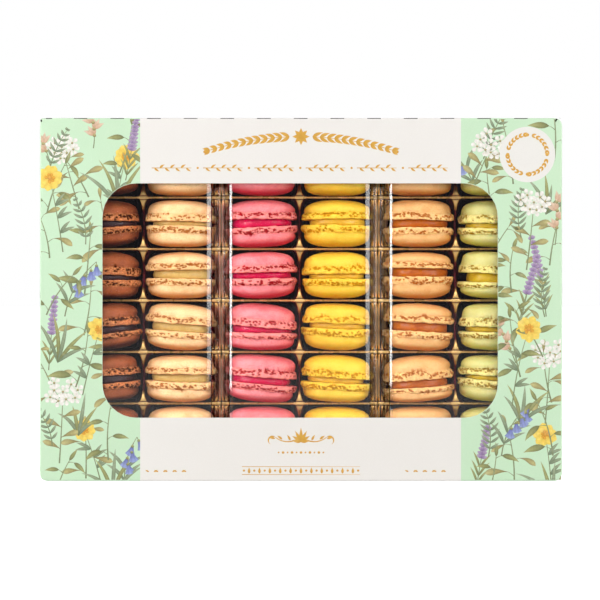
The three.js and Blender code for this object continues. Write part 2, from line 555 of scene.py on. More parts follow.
class Effect(Nodes):
    """A shared effect under construction: a group that takes named numbers and puts out one."""

    def __init__(self, name: str, *numbers: str) -> None:
        """Starts the group.

        Args:
            name: Its name.
            *numbers: Labels of the numbers that it takes.
        """
        super().__init__(bpy.data.node_groups.new(name, "ShaderNodeTree"))
        for label in numbers:
            self.tree.interface.new_socket(name=label, in_out="INPUT", socket_type="NodeSocketFloat")
        start = self.tree.nodes.new("NodeGroupInput")
        self.given = [self.out(start, label) for label in numbers]

    def ended(self, label: str, value: Value) -> NodeTree:
        """Ends the group.

        Args:
            label: Label of the number that it puts out.
            value: That number.

        Returns:
            The group's tree.
        """
        self.tree.interface.new_socket(name=label, in_out="OUTPUT", socket_type="NodeSocketFloat")
        self.feed(self.tree.nodes.new("NodeGroupOutput").inputs[label], value)
        return self.tree


@cache
def mottle_effect() -> NodeTree:
    """Builds uneven patches over a piece, as a mask.

    Returns:
        The group, which takes the patches' size and their contrast.
    """
    effect = Effect("Mottle", "Size mm", "Contrast")
    size, contrast = effect.given
    centred = effect.noise(size, 3.0) - 0.5
    return effect.ended("Mask", effect.maths("MULTIPLY_ADD", centred, contrast, 0.5, clamp=True))


@cache
def grain_effect() -> NodeTree:
    """Builds fine grain over a piece, as a height made of two sizes of noise.

    Returns:
        The group, which takes the finer size and the coarser one's share.
    """
    effect = Effect("Grain", "Size mm", "Coarse share")
    size, share = effect.given
    feeds = {0: share, 2: effect.noise(size, 2.0), 3: effect.noise(size * 3.5, 2.0)}
    return effect.ended("Height", effect.out(effect.add("Mix", feeds, data_type="FLOAT")))


@cache
def tears_effect() -> NodeTree:
    """Builds ragged lying tears over a piece, as a mask.

    Returns:
        The group, which takes the tears' size and the threshold above which the noise tears.
    """
    effect = Effect("Tears", "Size mm", "Threshold")
    size, threshold = effect.given
    noise = effect.noise(size, 3.0, squash=1.7, roughness=0.6, distortion=0.6)
    return effect.ended("Mask", effect.maths("MULTIPLY", noise - threshold, 12.0, clamp=True))


class Shader(Nodes):
    """A material under construction."""

    def __init__(self, name: str) -> None:
        """Starts a material.

        Args:
            name: Its name.
        """
        self.material = bpy.data.materials.new(name)
        self.material.use_nodes = True
        super().__init__(self.material.node_tree)
        self.output = self.add("OutputMaterial")

    def mottle(self, size_mm: float, contrast: float) -> Value:
        """Places patches of a size and contrast."""
        return self._placed(mottle_effect(), size_mm, contrast)

    def grain(self, size_mm: float, coarse_share: float) -> Value:
        """Places grain of a size, with a share of coarser grain."""
        return self._placed(grain_effect(), size_mm, coarse_share)

    def tears(self, size_mm: float, threshold: float) -> Value:
        """Places tears of a size, above a threshold."""
        return self._placed(tears_effect(), size_mm, threshold)

    def _placed(self, tree: NodeTree, *numbers: float) -> Value:
        """Places a shared effect with this material's own numbers."""
        return self.out(self.add("Group", dict(enumerate(numbers)), node_tree=tree))

    def attribute(self, name: str, output: str = "Fac") -> Value:
        """Reads a named value of the mesh."""
        return self.read("Attribute", output, attribute_name=name)

    def relief(self, height: Value, strength: float, distance_mm: float) -> Value:
        """Turns a height into a normal."""
        feeds = {"Strength": strength, "Distance": distance_mm * MM, "Height": height}
        return self.out(self.add("Bump", feeds))

    def surface(self, **feeds: Feed) -> Node:
        """Adds the Principled shader and joins it to the output.

        Args:
            **feeds: What its inputs are given.

        Returns:
            The shader's node.
        """
        labels = {key.replace("_", " ").title().replace("Ior", "IOR"): feed for key, feed in feeds.items()}
        node = self.add("BsdfPrincipled", labels)
        self.tree.links.new(node.outputs[0], self.output.inputs["Surface"])
        return node

    def finished(self, **feeds: Feed) -> Material:
        """Ends the material with a surface that is given these feeds."""
        self.surface(**feeds)
        return self.material


@dataclass(frozen=True)
class Crust:
    """Finish of a baked almond shell."""

    name: str
    body: Colour
    # deep is the shell's own deeper tone for its patches and specks, and also its painted shade on the edges
    # and underside; pit is the painted shade in the foot's holes.
    deep: Colour
    foot: Colour
    pit: Colour
    roughness: float = 0.6
    glow: float = 0.35
    glow_depth: float = 1.6
    scatter: Colour = (1.0, 0.45, 0.25)

    def build(self) -> Material:
        """Builds the shell's matt speckled skin, paler on the foot, dark with painted shade in its pits,
        tears and crease, and deeper with painted shade on its slanting edges and underside.

        Returns:
            The material.
        """
        shader = Shader(f"{self.name} crust")
        patches, specks, crumbs = shader.mottle(7.0, 1.6), shader.mottle(0.9, 2.4), shader.mottle(0.8, 3.0)
        body = shader.mix(patches.ramp(0.3, 1.0, 0.0, 0.4), self.body, self.deep)
        body = shader.mix(specks.ramp(0.55, 1.0, 0.0, 0.3), body, self.deep)
        # Painted shade: the deep colour is mixed in where the shell turns from the view, more so on its
        # underside.
        tilt = shader.add("SeparateXYZ", {0: shader.read("NewGeometry", "Normal")})
        under = shader.out(tilt, "Z").ramp(-0.6, 0.2, 1.0, 0.4)
        shade_facing = shader.read("LayerWeight", "Facing")
        body = shader.mix(shade_facing.ramp(0.12, 0.8) * under, body, self.deep)
        foot = shader.attribute("foot")
        body = shader.mix(foot * crumbs.ramp(0.1, 0.9, 0.25, 0.95), body, self.foot)
        # Painted shade: the pits and the tears along the crease take the dark pit colour, with less sheen and
        # glow, as the shade in these holes; they also sink as bumps.
        torn = shader.tears(1.5, 0.51) * shader.attribute("crease")
        pit = torn.most(shader.attribute("pit"))
        height = shader.grain(0.35, 0.55) * 0.5 + foot * crumbs - torn * 1.6
        return shader.finished(
            base_color=shader.mix(pit, body, self.pit),
            roughness=specks.ramp(0.0, 1.0, self.roughness - 0.08, self.roughness + 0.12),
            specular_ior_level=pit.ramp(0.0, 0.5, 0.3, 0.0),
            subsurface_weight=pit.ramp(0.0, 0.5, self.glow, 0.0),
            subsurface_scale=self.glow_depth * MM,
            subsurface_radius=self.scatter,
            normal=shader.relief(height, 0.6, 0.35),
        )


@dataclass(frozen=True)
class Filling:
    """Finish of a soft filling."""

    name: str
    body: Colour
    deep: Colour
    gloss: float = 0.3

    def build(self) -> Material:
        """Builds the filling's glossy cream with faint swirls.

        Returns:
            The material.
        """
        shader = Shader(f"{self.name} filling")
        swirls = shader.mottle(4.0, 1.8)
        return shader.finished(
            base_color=shader.mix(swirls, self.body, self.deep),
            roughness=swirls.ramp(0.0, 1.0, self.gloss - 0.06, self.gloss + 0.1),
            specular_ior_level=0.25,
            coat_weight=0.08,
            coat_roughness=0.2,
            normal=shader.relief(shader.grain(0.8, 0.7), 0.25, 0.3),
        )


@dataclass(frozen=True)
class MetallisedSheet:
    """Finish of the trays: a gold film, brighter on the ribs, with painted highlights on its crests, painted
    dark lines and creases, the shells painted on its flanges as reflections, and painted shade down in its
    pockets.
    """

    gold: Colour = srgb(250, 208, 132)
    bronze: Colour = srgb(200, 140, 70)
    # Painted colours: blush and tan are the shells painted on the flanges as reflections, cream is the
    # painted highlight on the crests, the deep red one is painted dark reflection and crease shade, and wall
    # and floor are the painted shade in the pockets.
    blush: Colour = srgb(255, 152, 132)
    tan: Colour = srgb(244, 196, 132)
    cream: Colour = srgb(255, 226, 190)
    shade_maroon: Colour = srgb(92, 20, 24)
    wall: Colour = srgb(140, 44, 58)
    floor: Colour = srgb(64, 52, 66)
    shade_depths: Point = (0.8, 2.5)
    floor_shade_depths: Point = (11.0, 16.0)
    flange_between: Point = (4.1, 4.4)
    web_between: Point = (38.0, 40.0)
    reflection_half: float = 30.0
    first_crest: float = 0.6
    crest_pitch: float = 2.4

    def build(self) -> Material:
        """Builds the film, bright on the ribs and flanges, with painted shade dull down in the pockets,
        painted highlights on the crests, painted dark lines and creases, and the shells painted on the
        flanges as reflections.

        Returns:
            The material.
        """
        shader = Shader("gold film")
        across, deep = shader.axis("X"), shader.axis("Y")
        # Painted shade: behind the front the film turns to the dark pocket colours and is less metallic.
        down = deep.ramp(*(depth * MM for depth in self.shade_depths))
        from_rib, from_edge = shader.attribute("from_rib"), shader.attribute("from_edge")
        flange, web = from_edge.ramp(*self.flange_between, 1.0, 0.0), from_edge.ramp(*self.web_between)
        wave = shader.maths("COSINE", (from_edge - self.first_crest) * (math.tau / self.crest_pitch))
        dull = wave.ramp(0.0, 0.7, 0.95, 0.0).most(from_rib.ramp(7.0, 10.5, 0.0, 0.35))
        # Painted dark reflections along the flange's troughs, and painted shade in the creases beside the
        # ribs.
        reflection_streaks = flange * dull * from_rib.ramp(0.6, 1.2)
        crease = from_rib.ramp(0.6, 0.85, 0.0, 0.8) * from_rib.ramp(1.3, 1.8, 1.0, 0.0)
        off_rib = flange * from_rib.ramp(2.0, 6.0, 0.0, 0.8)
        # Painted highlight on the crests of the flange's grooves.
        crest_highlight = wave.ramp(0.6, 0.95) * off_rib
        patches = shader.mottle(9.0, 1.4)
        tint = shader.mix(patches.ramp(0.2, 1.0, 0.0, 0.4), self.gold, self.bronze)
        # Painted reflection of the shells on the flanges: pink towards the left, tan towards the right.
        side = across.ramp(-self.reflection_half * MM, self.reflection_half * MM)
        tint = shader.mix(off_rib, tint, shader.mix(side, self.blush, self.tan))
        tint = shader.mix(reflection_streaks.most(crease), tint, self.shade_maroon)
        tint = shader.mix(crest_highlight, tint, self.cream)
        # Painted shade of the pockets: deep red on the walls, darker towards the floor.
        pocket = shader.mix(deep.ramp(*(depth * MM for depth in self.floor_shade_depths)), self.wall, self.floor)
        ribs = from_rib.ramp(0.6, 0.9, 1.0, 0.0)
        painted = down.most((ribs * 1.2).most(crest_highlight))
        rib = from_rib.ramp(0.0, 0.9, 1.0, 0.0) * flange.ramp(0.0, 1.0, 0.4, 0.8)
        lines = wave * from_rib.ramp(1.1, 2.2, 0.0, 0.4) * flange
        return shader.finished(
            base_color=shader.mix(down, tint, pocket),
            metallic=painted.ramp(0.0, 1.2, 1.0, 0.4),
            roughness=patches.ramp(0.0, 1.0, 0.1, 0.18) + (web * 0.15).most(ribs * 0.14),
            normal=shader.relief(rib + lines + shader.grain(2.5, 0.8) * 0.012, 0.8, 0.45),
        )


@dataclass(frozen=True)
class ClearSheet:
    """Finish of the lids: clear glossy plastic."""

    tint: Colour = (0.985, 0.995, 1.0)

    def build(self) -> Material:
        """Builds clear plastic that lets the lamps' light through to what it covers.

        Returns:
            The material.
        """
        shader = Shader("clear plastic")
        plastic = shader.surface(
            base_color=self.tint, metallic=0.0, roughness=0.03, ior=1.45, transmission_weight=1.0,
            normal=shader.relief(shader.grain(14.0, 0.8), 0.005, 0.25),
        )
        through = shader.add("BsdfTransparent", {0: self.tint})
        shadow = shader.read("LightPath", "Is Shadow Ray")
        either = shader.add("MixShader", {0: shadow, 1: shader.out(plastic), 2: shader.out(through)})
        shader.feed(shader.output.inputs["Surface"], shader.out(either))
        return shader.material


@dataclass(frozen=True)
class PrintedBoard:
    """Finish of the carton's outer face: mint ink with a cream band."""

    mint: Colour = srgb(191, 220, 187)
    pale_mint: Colour = srgb(197, 220, 188)
    cream: Colour = srgb(226, 222, 216)
    pale_cream: Colour = srgb(228, 224, 219)
    fibre: Colour = (1.0, 1.0, 0.98)
    band_left: float = -89.9
    band_right: float = 89.4

    def build(self) -> Material:
        """Builds the two fields of ink with a fine paper grain under a satin varnish.

        Returns:
            The material.
        """
        shader = Shader("printed board")
        across = shader.axis("X")
        band = (across > self.band_left * MM) * (across < self.band_right * MM)
        patches, fibres = shader.mottle(16.0, 1.2).ramp(0.0, 1.0, 0.0, 0.5), shader.mottle(0.8, 1.0)
        mint = shader.mix(patches, self.mint, self.pale_mint)
        ink = shader.mix(band, mint, shader.mix(patches, self.cream, self.pale_cream))
        return shader.finished(
            base_color=shader.mix(fibres.ramp(0.4, 1.0, 0.0, 0.12), ink, self.fibre),
            roughness=fibres.ramp(0.0, 1.0, 0.42, 0.56),
            specular_ior_level=0.4,
            normal=shader.relief(shader.grain(0.5, 0.5), 0.12, 0.08),
        )


@dataclass(frozen=True)
class RawBoard:
    """Finish of bare board: its inner face or a cut edge, and, made dark, the painted shade inside the cut
    slits.
    """

    name: str
    body: Colour
    fleck: Colour

    def build(self) -> Material:
        """Builds bare fibres with faint flecks.

        Returns:
            The material.
        """
        shader = Shader(self.name)
        flecks = shader.mottle(0.7, 2.6)
        return shader.finished(
            base_color=shader.mix(flecks.ramp(0.5, 1.0, 0.0, 0.5), self.body, self.fleck),
            roughness=flecks.ramp(0.0, 1.0, 0.8, 0.92),
            specular_ior_level=0.25,
            normal=shader.relief(shader.grain(0.6, 0.4), 0.2, 0.1),
        )


@dataclass(frozen=True)
class PrintInk:
    """Finish of the printed drawings, whose colours are stored on their meshes."""

    name: str
    wash: float
    roughness: float
    shade: Colour = srgb(196, 192, 176)
    paper: Colour = (0.9, 0.9, 0.82)

    def build(self) -> Material:
        """Builds ink that reads its colour from the mesh and pools unevenly as a wash does.

        Returns:
            The material.
        """
        shader = Shader(self.name)
        ink = shader.attribute("ink", "Color")
        pools, wide = shader.mottle(1.6, 2.0), shader.mottle(6.0, 1.8)
        tone = shader.mix(pools * self.wash, ink, shader.mix(1.0, ink, self.shade, "MULTIPLY"))
        pale = wide.ramp(0.5, 1.0, 0.0, self.wash * 0.6)
        return shader.finished(
            base_color=shader.mix(pale, tone, shader.mix(0.3, ink, self.paper)),
            roughness=pools.ramp(0.0, 1.0, self.roughness - 0.05, self.roughness + 0.08),
            specular_ior_level=0.4,
        )


@dataclass(frozen=True)
class Flavour:
    """One flavour: its finishes and how its column of macarons leans.

    The leans are in degrees for the rows from the top, as in the solids, and a positive one
    brings the right side down. The gaps are how far apart the shells are, and the sags how
    far the gap lies below the middle, both in millimetres.
    """

    name: str
    upper: tuple[int, ...]
    lower: tuple[int, ...]
    crust: Crust
    filling: Filling
    filling_radius: float
    gaps: tuple[float, ...]
    sags: tuple[float, ...]
    filling_shift: float = 0.0
    wider: float = 1.0
    shift: float = 0.0


# Each crust's deep colour is also its painted shade on edges and undersides, and its pit colour is the
# painted shade in its holes.
FLAVOURS = (
    Flavour(
        "chocolate", (1, 0, 2, -4, -4, 1), (0, -6, 0, -8, -5, 2),
        Crust("chocolate", srgb(162, 82, 38), srgb(70, 26, 12), srgb(222, 140, 82), srgb(44, 8, 4)),
        Filling("chocolate", srgb(60, 24, 30), srgb(36, 14, 20), 0.4), 17.4,
        (4.0, 4.1, 2.8, 4.2, 4.2, 4.0), (0.0, 0.8, 1.4, 1.9, 0.4, 0.0),
    ),
    Flavour(
        "vanilla", (0, 1, -1, 5, 1, 0), (1, 1, 1, 4, 2, 1),
        Crust("vanilla", srgb(249, 204, 150), srgb(198, 126, 56), srgb(240, 194, 128), srgb(172, 94, 34)),
        Filling("vanilla", srgb(210, 180, 106), srgb(188, 150, 76)), 16.1,
        (4.0, 2.6, 4.9, 4.4, 4.3, 4.0), (0.0, 0.3, -0.4, 0.3, -0.6, 0.0), 0.6,
    ),
    Flavour(
        "raspberry", (0, 0, -1, 5, 5, 1), (1, -3, -1, 1, 5, 0),
        Crust("raspberry", srgb(238, 136, 138), srgb(192, 20, 48), srgb(242, 144, 132), srgb(156, 0, 14)),
        Filling("raspberry", srgb(214, 10, 80), srgb(178, 4, 56), 0.26), 16.3,
        (4.0, 4.3, 3.3, 3.1, 3.8, 4.0), (0.0, 0.0, 0.2, 1.6, 0.8, 0.0), wider=1.025, shift=-0.45,
    ),
    Flavour(
        "lemon", (1, -1, -1, 2, 4, 1), (0, 1, 0, 2, 3, 0),
        Crust("lemon", srgb(240, 195, 62), srgb(212, 162, 0), srgb(240, 198, 56), srgb(192, 126, 4)),
        Filling("lemon", srgb(232, 192, 58), srgb(214, 164, 34)), 15.6,
        (3.5, 3.3, 2.7, 2.9, 3.0, 3.5), (0.0, -0.6, 0.7, -0.6, 0.7, 0.0),
    ),
    Flavour(
        "caramel", (1, 1, 1, 3, -4, 0), (0, 0, 0, 3, -4, 1),
        Crust("caramel", srgb(225, 175, 114), srgb(200, 122, 42), srgb(245, 200, 132), srgb(172, 88, 22)),
        Filling("caramel", srgb(186, 100, 4), srgb(164, 72, 2), 0.3), 16.2,
        (4.3, 4.3, 4.7, 4.8, 4.2, 4.3), (0.0, 0.3, -1.5, 0.0, 2.6, 0.0),
    ),
    Flavour(
        "pistachio", (0, 1, 4, 3, 3, -1), (1, 3, 2, 1, 5, 0),
        Crust("pistachio", srgb(211, 204, 134), srgb(194, 184, 72), srgb(246, 226, 140), srgb(154, 116, 12)),
        Filling("pistachio", srgb(228, 194, 40), srgb(204, 158, 20)), 15.8,
        (3.5, 3.0, 4.8, 2.6, 2.7, 3.5), (0.0, 1.8, 1.8, 1.5, -0.4, 0.0), 0.4,
    ),
)


class Draw:
    """The seeded draw that places the macarons, the same as in the solids."""

    MULTIPLIER = 16807
    MODULUS = 2147483647

    def __init__(self, seed: int) -> None:
        """Starts the draw."""
        self.state = seed

    def __call__(self, spread: float) -> float:
        """Returns the next number between minus and plus the spread."""
        self.state = self.state * self.MULTIPLIER % self.MODULUS
        return spread * (2 * self.state / self.MODULUS - 1)


def polar(points: np.ndarray) -> tuple[np.ndarray, np.ndarray]:
    """Returns how far points lie from the upright axis, and the share of a turn round it."""
    x, y = points[:, 0], points[:, 1]
    return np.hypot(x, y), np.arctan2(y, x) / math.tau % 1.0


@dataclass(frozen=True)
class PitKind:
    """A kind of pit: how many are tried, the heights where they lie, their sizes and depth."""

    tries: int
    band: Point
    half_length: Point
    half_height: Point
    depth: float


@dataclass
class ShellMaker:
    """Makes one baked shell after another: a domed cap on a ragged raised foot."""

    radius: float = 18.45
    dome_start: float = 6.4
    top: float = 13.2
    squareness: float = 2.9
    own_squareness: Point = (2.45, 3.3)
    foot_radius: float = 19.6
    underside: float = 2.15
    underside_reach: float = 9.0
    steps: int = 224
    dome_rings: int = 13
    foot_bottom: Point = (2.0, 2.4)
    foot_top: Point = (5.7, 6.4)
    foot_crags: float = 0.5
    rim_between: Point = (16.0, 18.0)
    dome_between: Point = (6.0, 7.6)
    squash: float = 0.35
    tear_height: float = 5.1
    tear_half: float = 1.1
    crease_height: float = 6.15
    crease_half: float = 0.28
    blank: Object = field(init=False)

    FOOT = ((17.4, 2.1), (18.8, 2.1), (19.3, 2.25), (19.5, 2.55), (19.6, 2.9), (19.66, 3.25),
            (19.68, 3.6), (19.68, 3.95), (19.66, 4.3), (19.6, 4.65), (19.5, 5.0), (19.33, 5.35),
            (19.1, 5.65), (18.82, 5.9), (18.58, 6.15))
    WAVE_CELLS = (7, 16, 26, 54, 110)
    PITS = (
        PitKind(84, (4.0, 5.6), (0.5, 1.15), (0.36, 0.62), 1.0),
        PitKind(120, (2.9, 5.6), (0.4, 0.8), (0.32, 0.5), 0.6),
    )

    def __post_init__(self) -> None:
        """Turns the plain shell that each one is copied from."""
        dome = []
        for ring in range(self.dome_rings):
            angle = math.pi / 2 * (1 - ring / self.dome_rings)
            share = 2 / self.squareness
            out = self.radius * math.sin(angle) ** share
            rise = (self.top - self.dome_start) * math.cos(angle) ** share
            dome.append((out, self.dome_start + rise))
        flat = [(0.0, self.underside), (self.underside_reach, self.underside)]
        self.blank = turned("shell_blank", [*flat, *self.FOOT, *dome, (0.0, self.top)], self.steps)

    def make(self, name: str, seed: int) -> Object:
        """Bakes one shell with its own lumps, frill, crease and pits.

        Args:
            name: Name of the new piece.
            seed: Seed of this shell's unevenness.

        Returns:
            The shell right way up with its foot below.
        """
        piece = copied(self.blank, name)
        points = places(piece)
        height = points[:, 2].copy()
        out, turn = polar(points)
        out = self._own_dome(out, height, seed)
        rise = np.clip((height - 2) / 11, 0, 1)
        level = np.zeros_like(turn)
        waves = [LatticeNoise(seed + k, cells, 5) for k, cells in enumerate(self.WAVE_CELLS)]
        swell, roll, frill, crag = (wave(turn, level) for wave in waves[:4])
        foot = smooth_step(height, *self.foot_bottom) * (1 - smooth_step(height, *self.foot_top))
        rim = smooth_step(out, *self.rim_between)
        dome = smooth_step(height, *self.dome_between)
        crags = (waves[3](turn, rise) + 0.6 * waves[4](turn, np.clip(rise * 2.2, 0, 1))) * foot
        spread = out + 0.3 * waves[0](turn, rise) * rim + frill * 0.4 * foot + self.foot_crags * crags * rim
        lift = 0.22 * swell * dome + 0.3 * roll * foot * rim
        lift -= 0.3 * crag * (1 - smooth_step(height, 2.1, 3.2)) * rim
        above = height - (0.5 * roll + 0.25 * frill)
        depth, dark = self._pits(seed, turn, above)
        spread -= depth * rim
        squash = np.random.default_rng(seed).uniform(-self.squash, self.squash)
        lift += squash * dome * (out / self.radius) ** 4 * (1 - (out / self.radius) ** 6)
        off_axis = out > 1e-3
        points[:, 0] = np.where(off_axis, spread * np.cos(turn * math.tau), 0)
        points[:, 1] = np.where(off_axis, spread * np.sin(turn * math.tau), 0)
        points[:, 2] = height + lift * off_axis
        move_to(piece, points)
        line = np.exp(-(((above - self.tear_height) / self.tear_half) ** 2))
        patchy = np.clip(0.75 + 0.9 * waves[0](turn, level + 0.5), 0.15, 1)
        # The pit and crease masks tell the crust where it paints shade in the holes.
        set_values(piece, "pit", dark * rim)
        set_values(piece, "foot", foot * rim)
        set_values(piece, "crease", line * patchy * rim)
        return piece

    def _own_dome(self, out: np.ndarray, height: np.ndarray, seed: int) -> np.ndarray:
        """Gives a shell's dome a squareness of its own.

        Args:
            out: How far each vertex lies from the axis.
            height: Height of each vertex.
            seed: Seed of the shell.

        Returns:
            How far each lies from the axis then.
        """
        up = np.clip((height - self.dome_start) / (self.top - self.dome_start), 0, 0.995)
        own = np.random.default_rng(seed + 5).uniform(*self.own_squareness)
        return out * (1 - up**own) ** (1 / own) / (1 - up**self.squareness) ** (1 / self.squareness)

    def _pits(self, seed: int, turn: np.ndarray, height: np.ndarray) -> tuple[np.ndarray, np.ndarray]:
        """Works out the pits where the foot tore from the dome.

        Args:
            seed: Seed of the shell.
            turn: Share of a turn of each vertex.
            height: Height of each vertex above the shell's own crease line.

        Returns:
            How deep each vertex sinks in millimetres, and how dark its painted shade is from 0 to 1.
        """
        draw = np.random.default_rng(seed + 7)
        busy = LatticeNoise(seed + 9, 5, 1)
        around = math.tau * self.foot_radius
        depth, dark = np.zeros_like(turn), np.zeros_like(turn)
        for kind in self.PITS:
            for _ in range(kind.tries):
                at, level = draw.uniform(0, 1), draw.uniform(*kind.band)
                half_long, half_high = draw.uniform(*kind.half_length), draw.uniform(*kind.half_height)
                strength = draw.uniform(0.9, 1.0)
                if busy(np.array([at]), np.array([0.0]))[0] < draw.uniform(-1.3, 0.2):
                    continue
                off = (turn - at + 0.5) % 1.0 - 0.5
                shape = np.exp(-((off * around / half_long) ** 2) - ((height - level) / half_high) ** 2)
                depth = np.maximum(depth, shape * kind.depth * strength)
                dark = np.maximum(dark, smooth_step(shape, 0.15, 0.5) * strength)
        # The crease line sinks a little and takes a little painted shade.
        crease = np.exp(-(((height - self.crease_height) / self.crease_half) ** 2))
        crease = np.clip(crease * (0.4 + 0.3 * busy(turn, np.zeros_like(turn))), 0, 1)
        return np.maximum(depth, crease * 0.5), np.maximum(dark, crease * 0.3)


TRAY_NAMES = ("left", "middle", "right")


def middle_of(node: str) -> Vector:
    """Returns the middle of a node's box in millimetres."""
    low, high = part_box(node)
    return (low + high) / 2 / MM


@dataclass
class MacaronMaker:
    """Makes the macarons: two shells on a filling in the place of each node."""

    shells: ShellMaker
    row_pitch: float = 29.3
    rows: int = 6
    column: float = 21.2
    drop: float = 0.35
    size_spread: float = 0.012
    shift_spread: float = 0.2
    draw_seed: int = 36
    half_gap: float = 2.1
    filling_radius: float = 16.2
    filling_half: float = 2.4
    filling_steps: int = 96
    smooth_angle: float = 60.0
    filling_blank: Object = field(init=False)

    FILLING_SIDE = ((0.0, -2.4), (12.5, -2.4), (15.1, -2.3), (15.7, -1.9), (16.0, -1.4), (16.15, -0.8),
                    (16.2, 0.0), (16.15, 0.8), (16.0, 1.4), (15.7, 1.9), (15.1, 2.3), (12.5, 2.4), (0.0, 2.4))

    def __post_init__(self) -> None:
        """Turns the plain filling that each one is copied from."""
        self.filling_blank = turned("filling_blank", self.FILLING_SIDE, self.filling_steps)

    def build(self) -> None:
        """Makes every macaron and removes the blanks."""
        draw = Draw(self.draw_seed)
        for number, flavour in enumerate(FLAVOURS):
            looks = flavour.crust.build(), flavour.filling.build()
            middle = middle_of(f"tray_{TRAY_NAMES[number // 2]}")
            column = self.column if number % 2 else -self.column
            for row in range(self.rows):
                size = 1 + draw(self.size_spread), 1 + draw(self.size_spread)
                draw(math.pi)
                x = middle.x + column + draw(self.shift_spread) + flavour.shift
                z = middle.z + ((self.rows - 1) / 2 - row) * self.row_pitch - self.drop
                self._macaron(flavour, number, row, size, np.array((x, 0, z)), looks)
        for blank in (self.shells.blank, self.filling_blank):
            bpy.data.objects.remove(blank)

    def _macaron(self, flavour: Flavour, number: int, row: int, size: Point, place: np.ndarray,
                 looks: tuple[Material, Material]) -> None:
        """Makes one macaron's two shells and filling at its place.

        Args:
            flavour: The macaron's flavour.
            number: The flavour's place from the left.
            row: The row from the top.
            size: Scales of its radius and of its height.
            place: Where its centre lies, in millimetres.
            looks: Materials of the shells and of the filling.
        """
        label = f"{flavour.name}_{row + 1}"
        leans = [math.radians(flavour.upper[row]), math.radians(flavour.lower[row])]
        grow = np.array((size[0] * flavour.wider, size[0] * flavour.wider, size[1]))
        gap, sag = flavour.gaps[row], flavour.sags[row]

        def placed(piece: Object, points: np.ndarray, look: Material, layer: str) -> None:
            """Takes a layer to its place, dresses it and registers it.

            Args:
                piece: The layer.
                points: Its points about the macaron's centre.
                look: Its material.
                layer: What follows the flavour's name in the label handed on with it.
            """
            move_to(piece, points + place)
            smoothed(dressed(piece, look), self.smooth_angle)
            registered(piece, f"{flavour.name}_{layer}", f"macaron_{label}")

        for lower, (part, lean, flip) in enumerate(zip(("upper_shell", "lower_shell"), leans, (1, -1))):
            seed = 1000 + 100 * number + 10 * row + lower
            piece = self.shells.make(f"{part}_{label}", seed * 13)
            points = places(piece)
            start = gap / 2 - sag * flip
            stretch = (self.shells.top - start) / (self.shells.top - self.half_gap)
            points[:, 2] = start + (points[:, 2] - self.half_gap) * stretch
            points *= grow * np.array((1, flip, flip))
            self._lean(points, np.full(len(points), lean))
            placed(piece, points, looks[0], "crust")
        piece = copied(self.filling_blank, f"filling_{label}")
        points = self._soft(places(piece), flavour, 77 + 31 * (number * self.rows + row))
        points *= grow
        share = np.clip((points[:, 2] + self.half_gap) / 2 / self.half_gap, 0, 1)
        points[:, 2] = points[:, 2] * gap / 2 / self.half_gap - sag
        self._lean(points, leans[1] + (leans[0] - leans[1]) * share)
        placed(piece, points, looks[1], "filling")

    @staticmethod
    def _lean(points: np.ndarray, angles: np.ndarray) -> None:
        """Leans points to the right side.

        Args:
            points: The points, which are changed.
            angles: Angle of each in radians.
        """
        x, z = points[:, 0].copy(), points[:, 2].copy()
        points[:, 0] = x * np.cos(angles) + z * np.sin(angles)
        points[:, 2] = z * np.cos(angles) - x * np.sin(angles)

    def _soft(self, points: np.ndarray, flavour: Flavour, seed: int) -> np.ndarray:
        """Gives a filling its own size, bulges and offset.

        Args:
            points: The plain filling's points.
            flavour: The macaron's flavour.
            seed: Seed of this filling's unevenness.

        Returns:
            The filling's points.
        """
        draw = np.random.default_rng(seed)
        out, turn = polar(points)
        rise = (points[:, 2] + self.filling_half) / (2 * self.filling_half)
        wide, fine = LatticeNoise(seed, 9, 2), LatticeNoise(seed + 1, 34, 3)
        edge = smooth_step(out, 10, 15)
        grow = flavour.filling_radius / self.filling_radius
        scale = grow + (0.3 * wide(turn, rise) + 0.14 * fine(turn, rise)) * edge / 16
        points = points * np.stack((scale, scale, np.ones_like(scale)), 1)
        points[:, 0] += flavour.filling_shift + draw.uniform(-0.4, 0.4)
        points[:, 1] += draw.uniform(-0.3, 0.3)
        return points


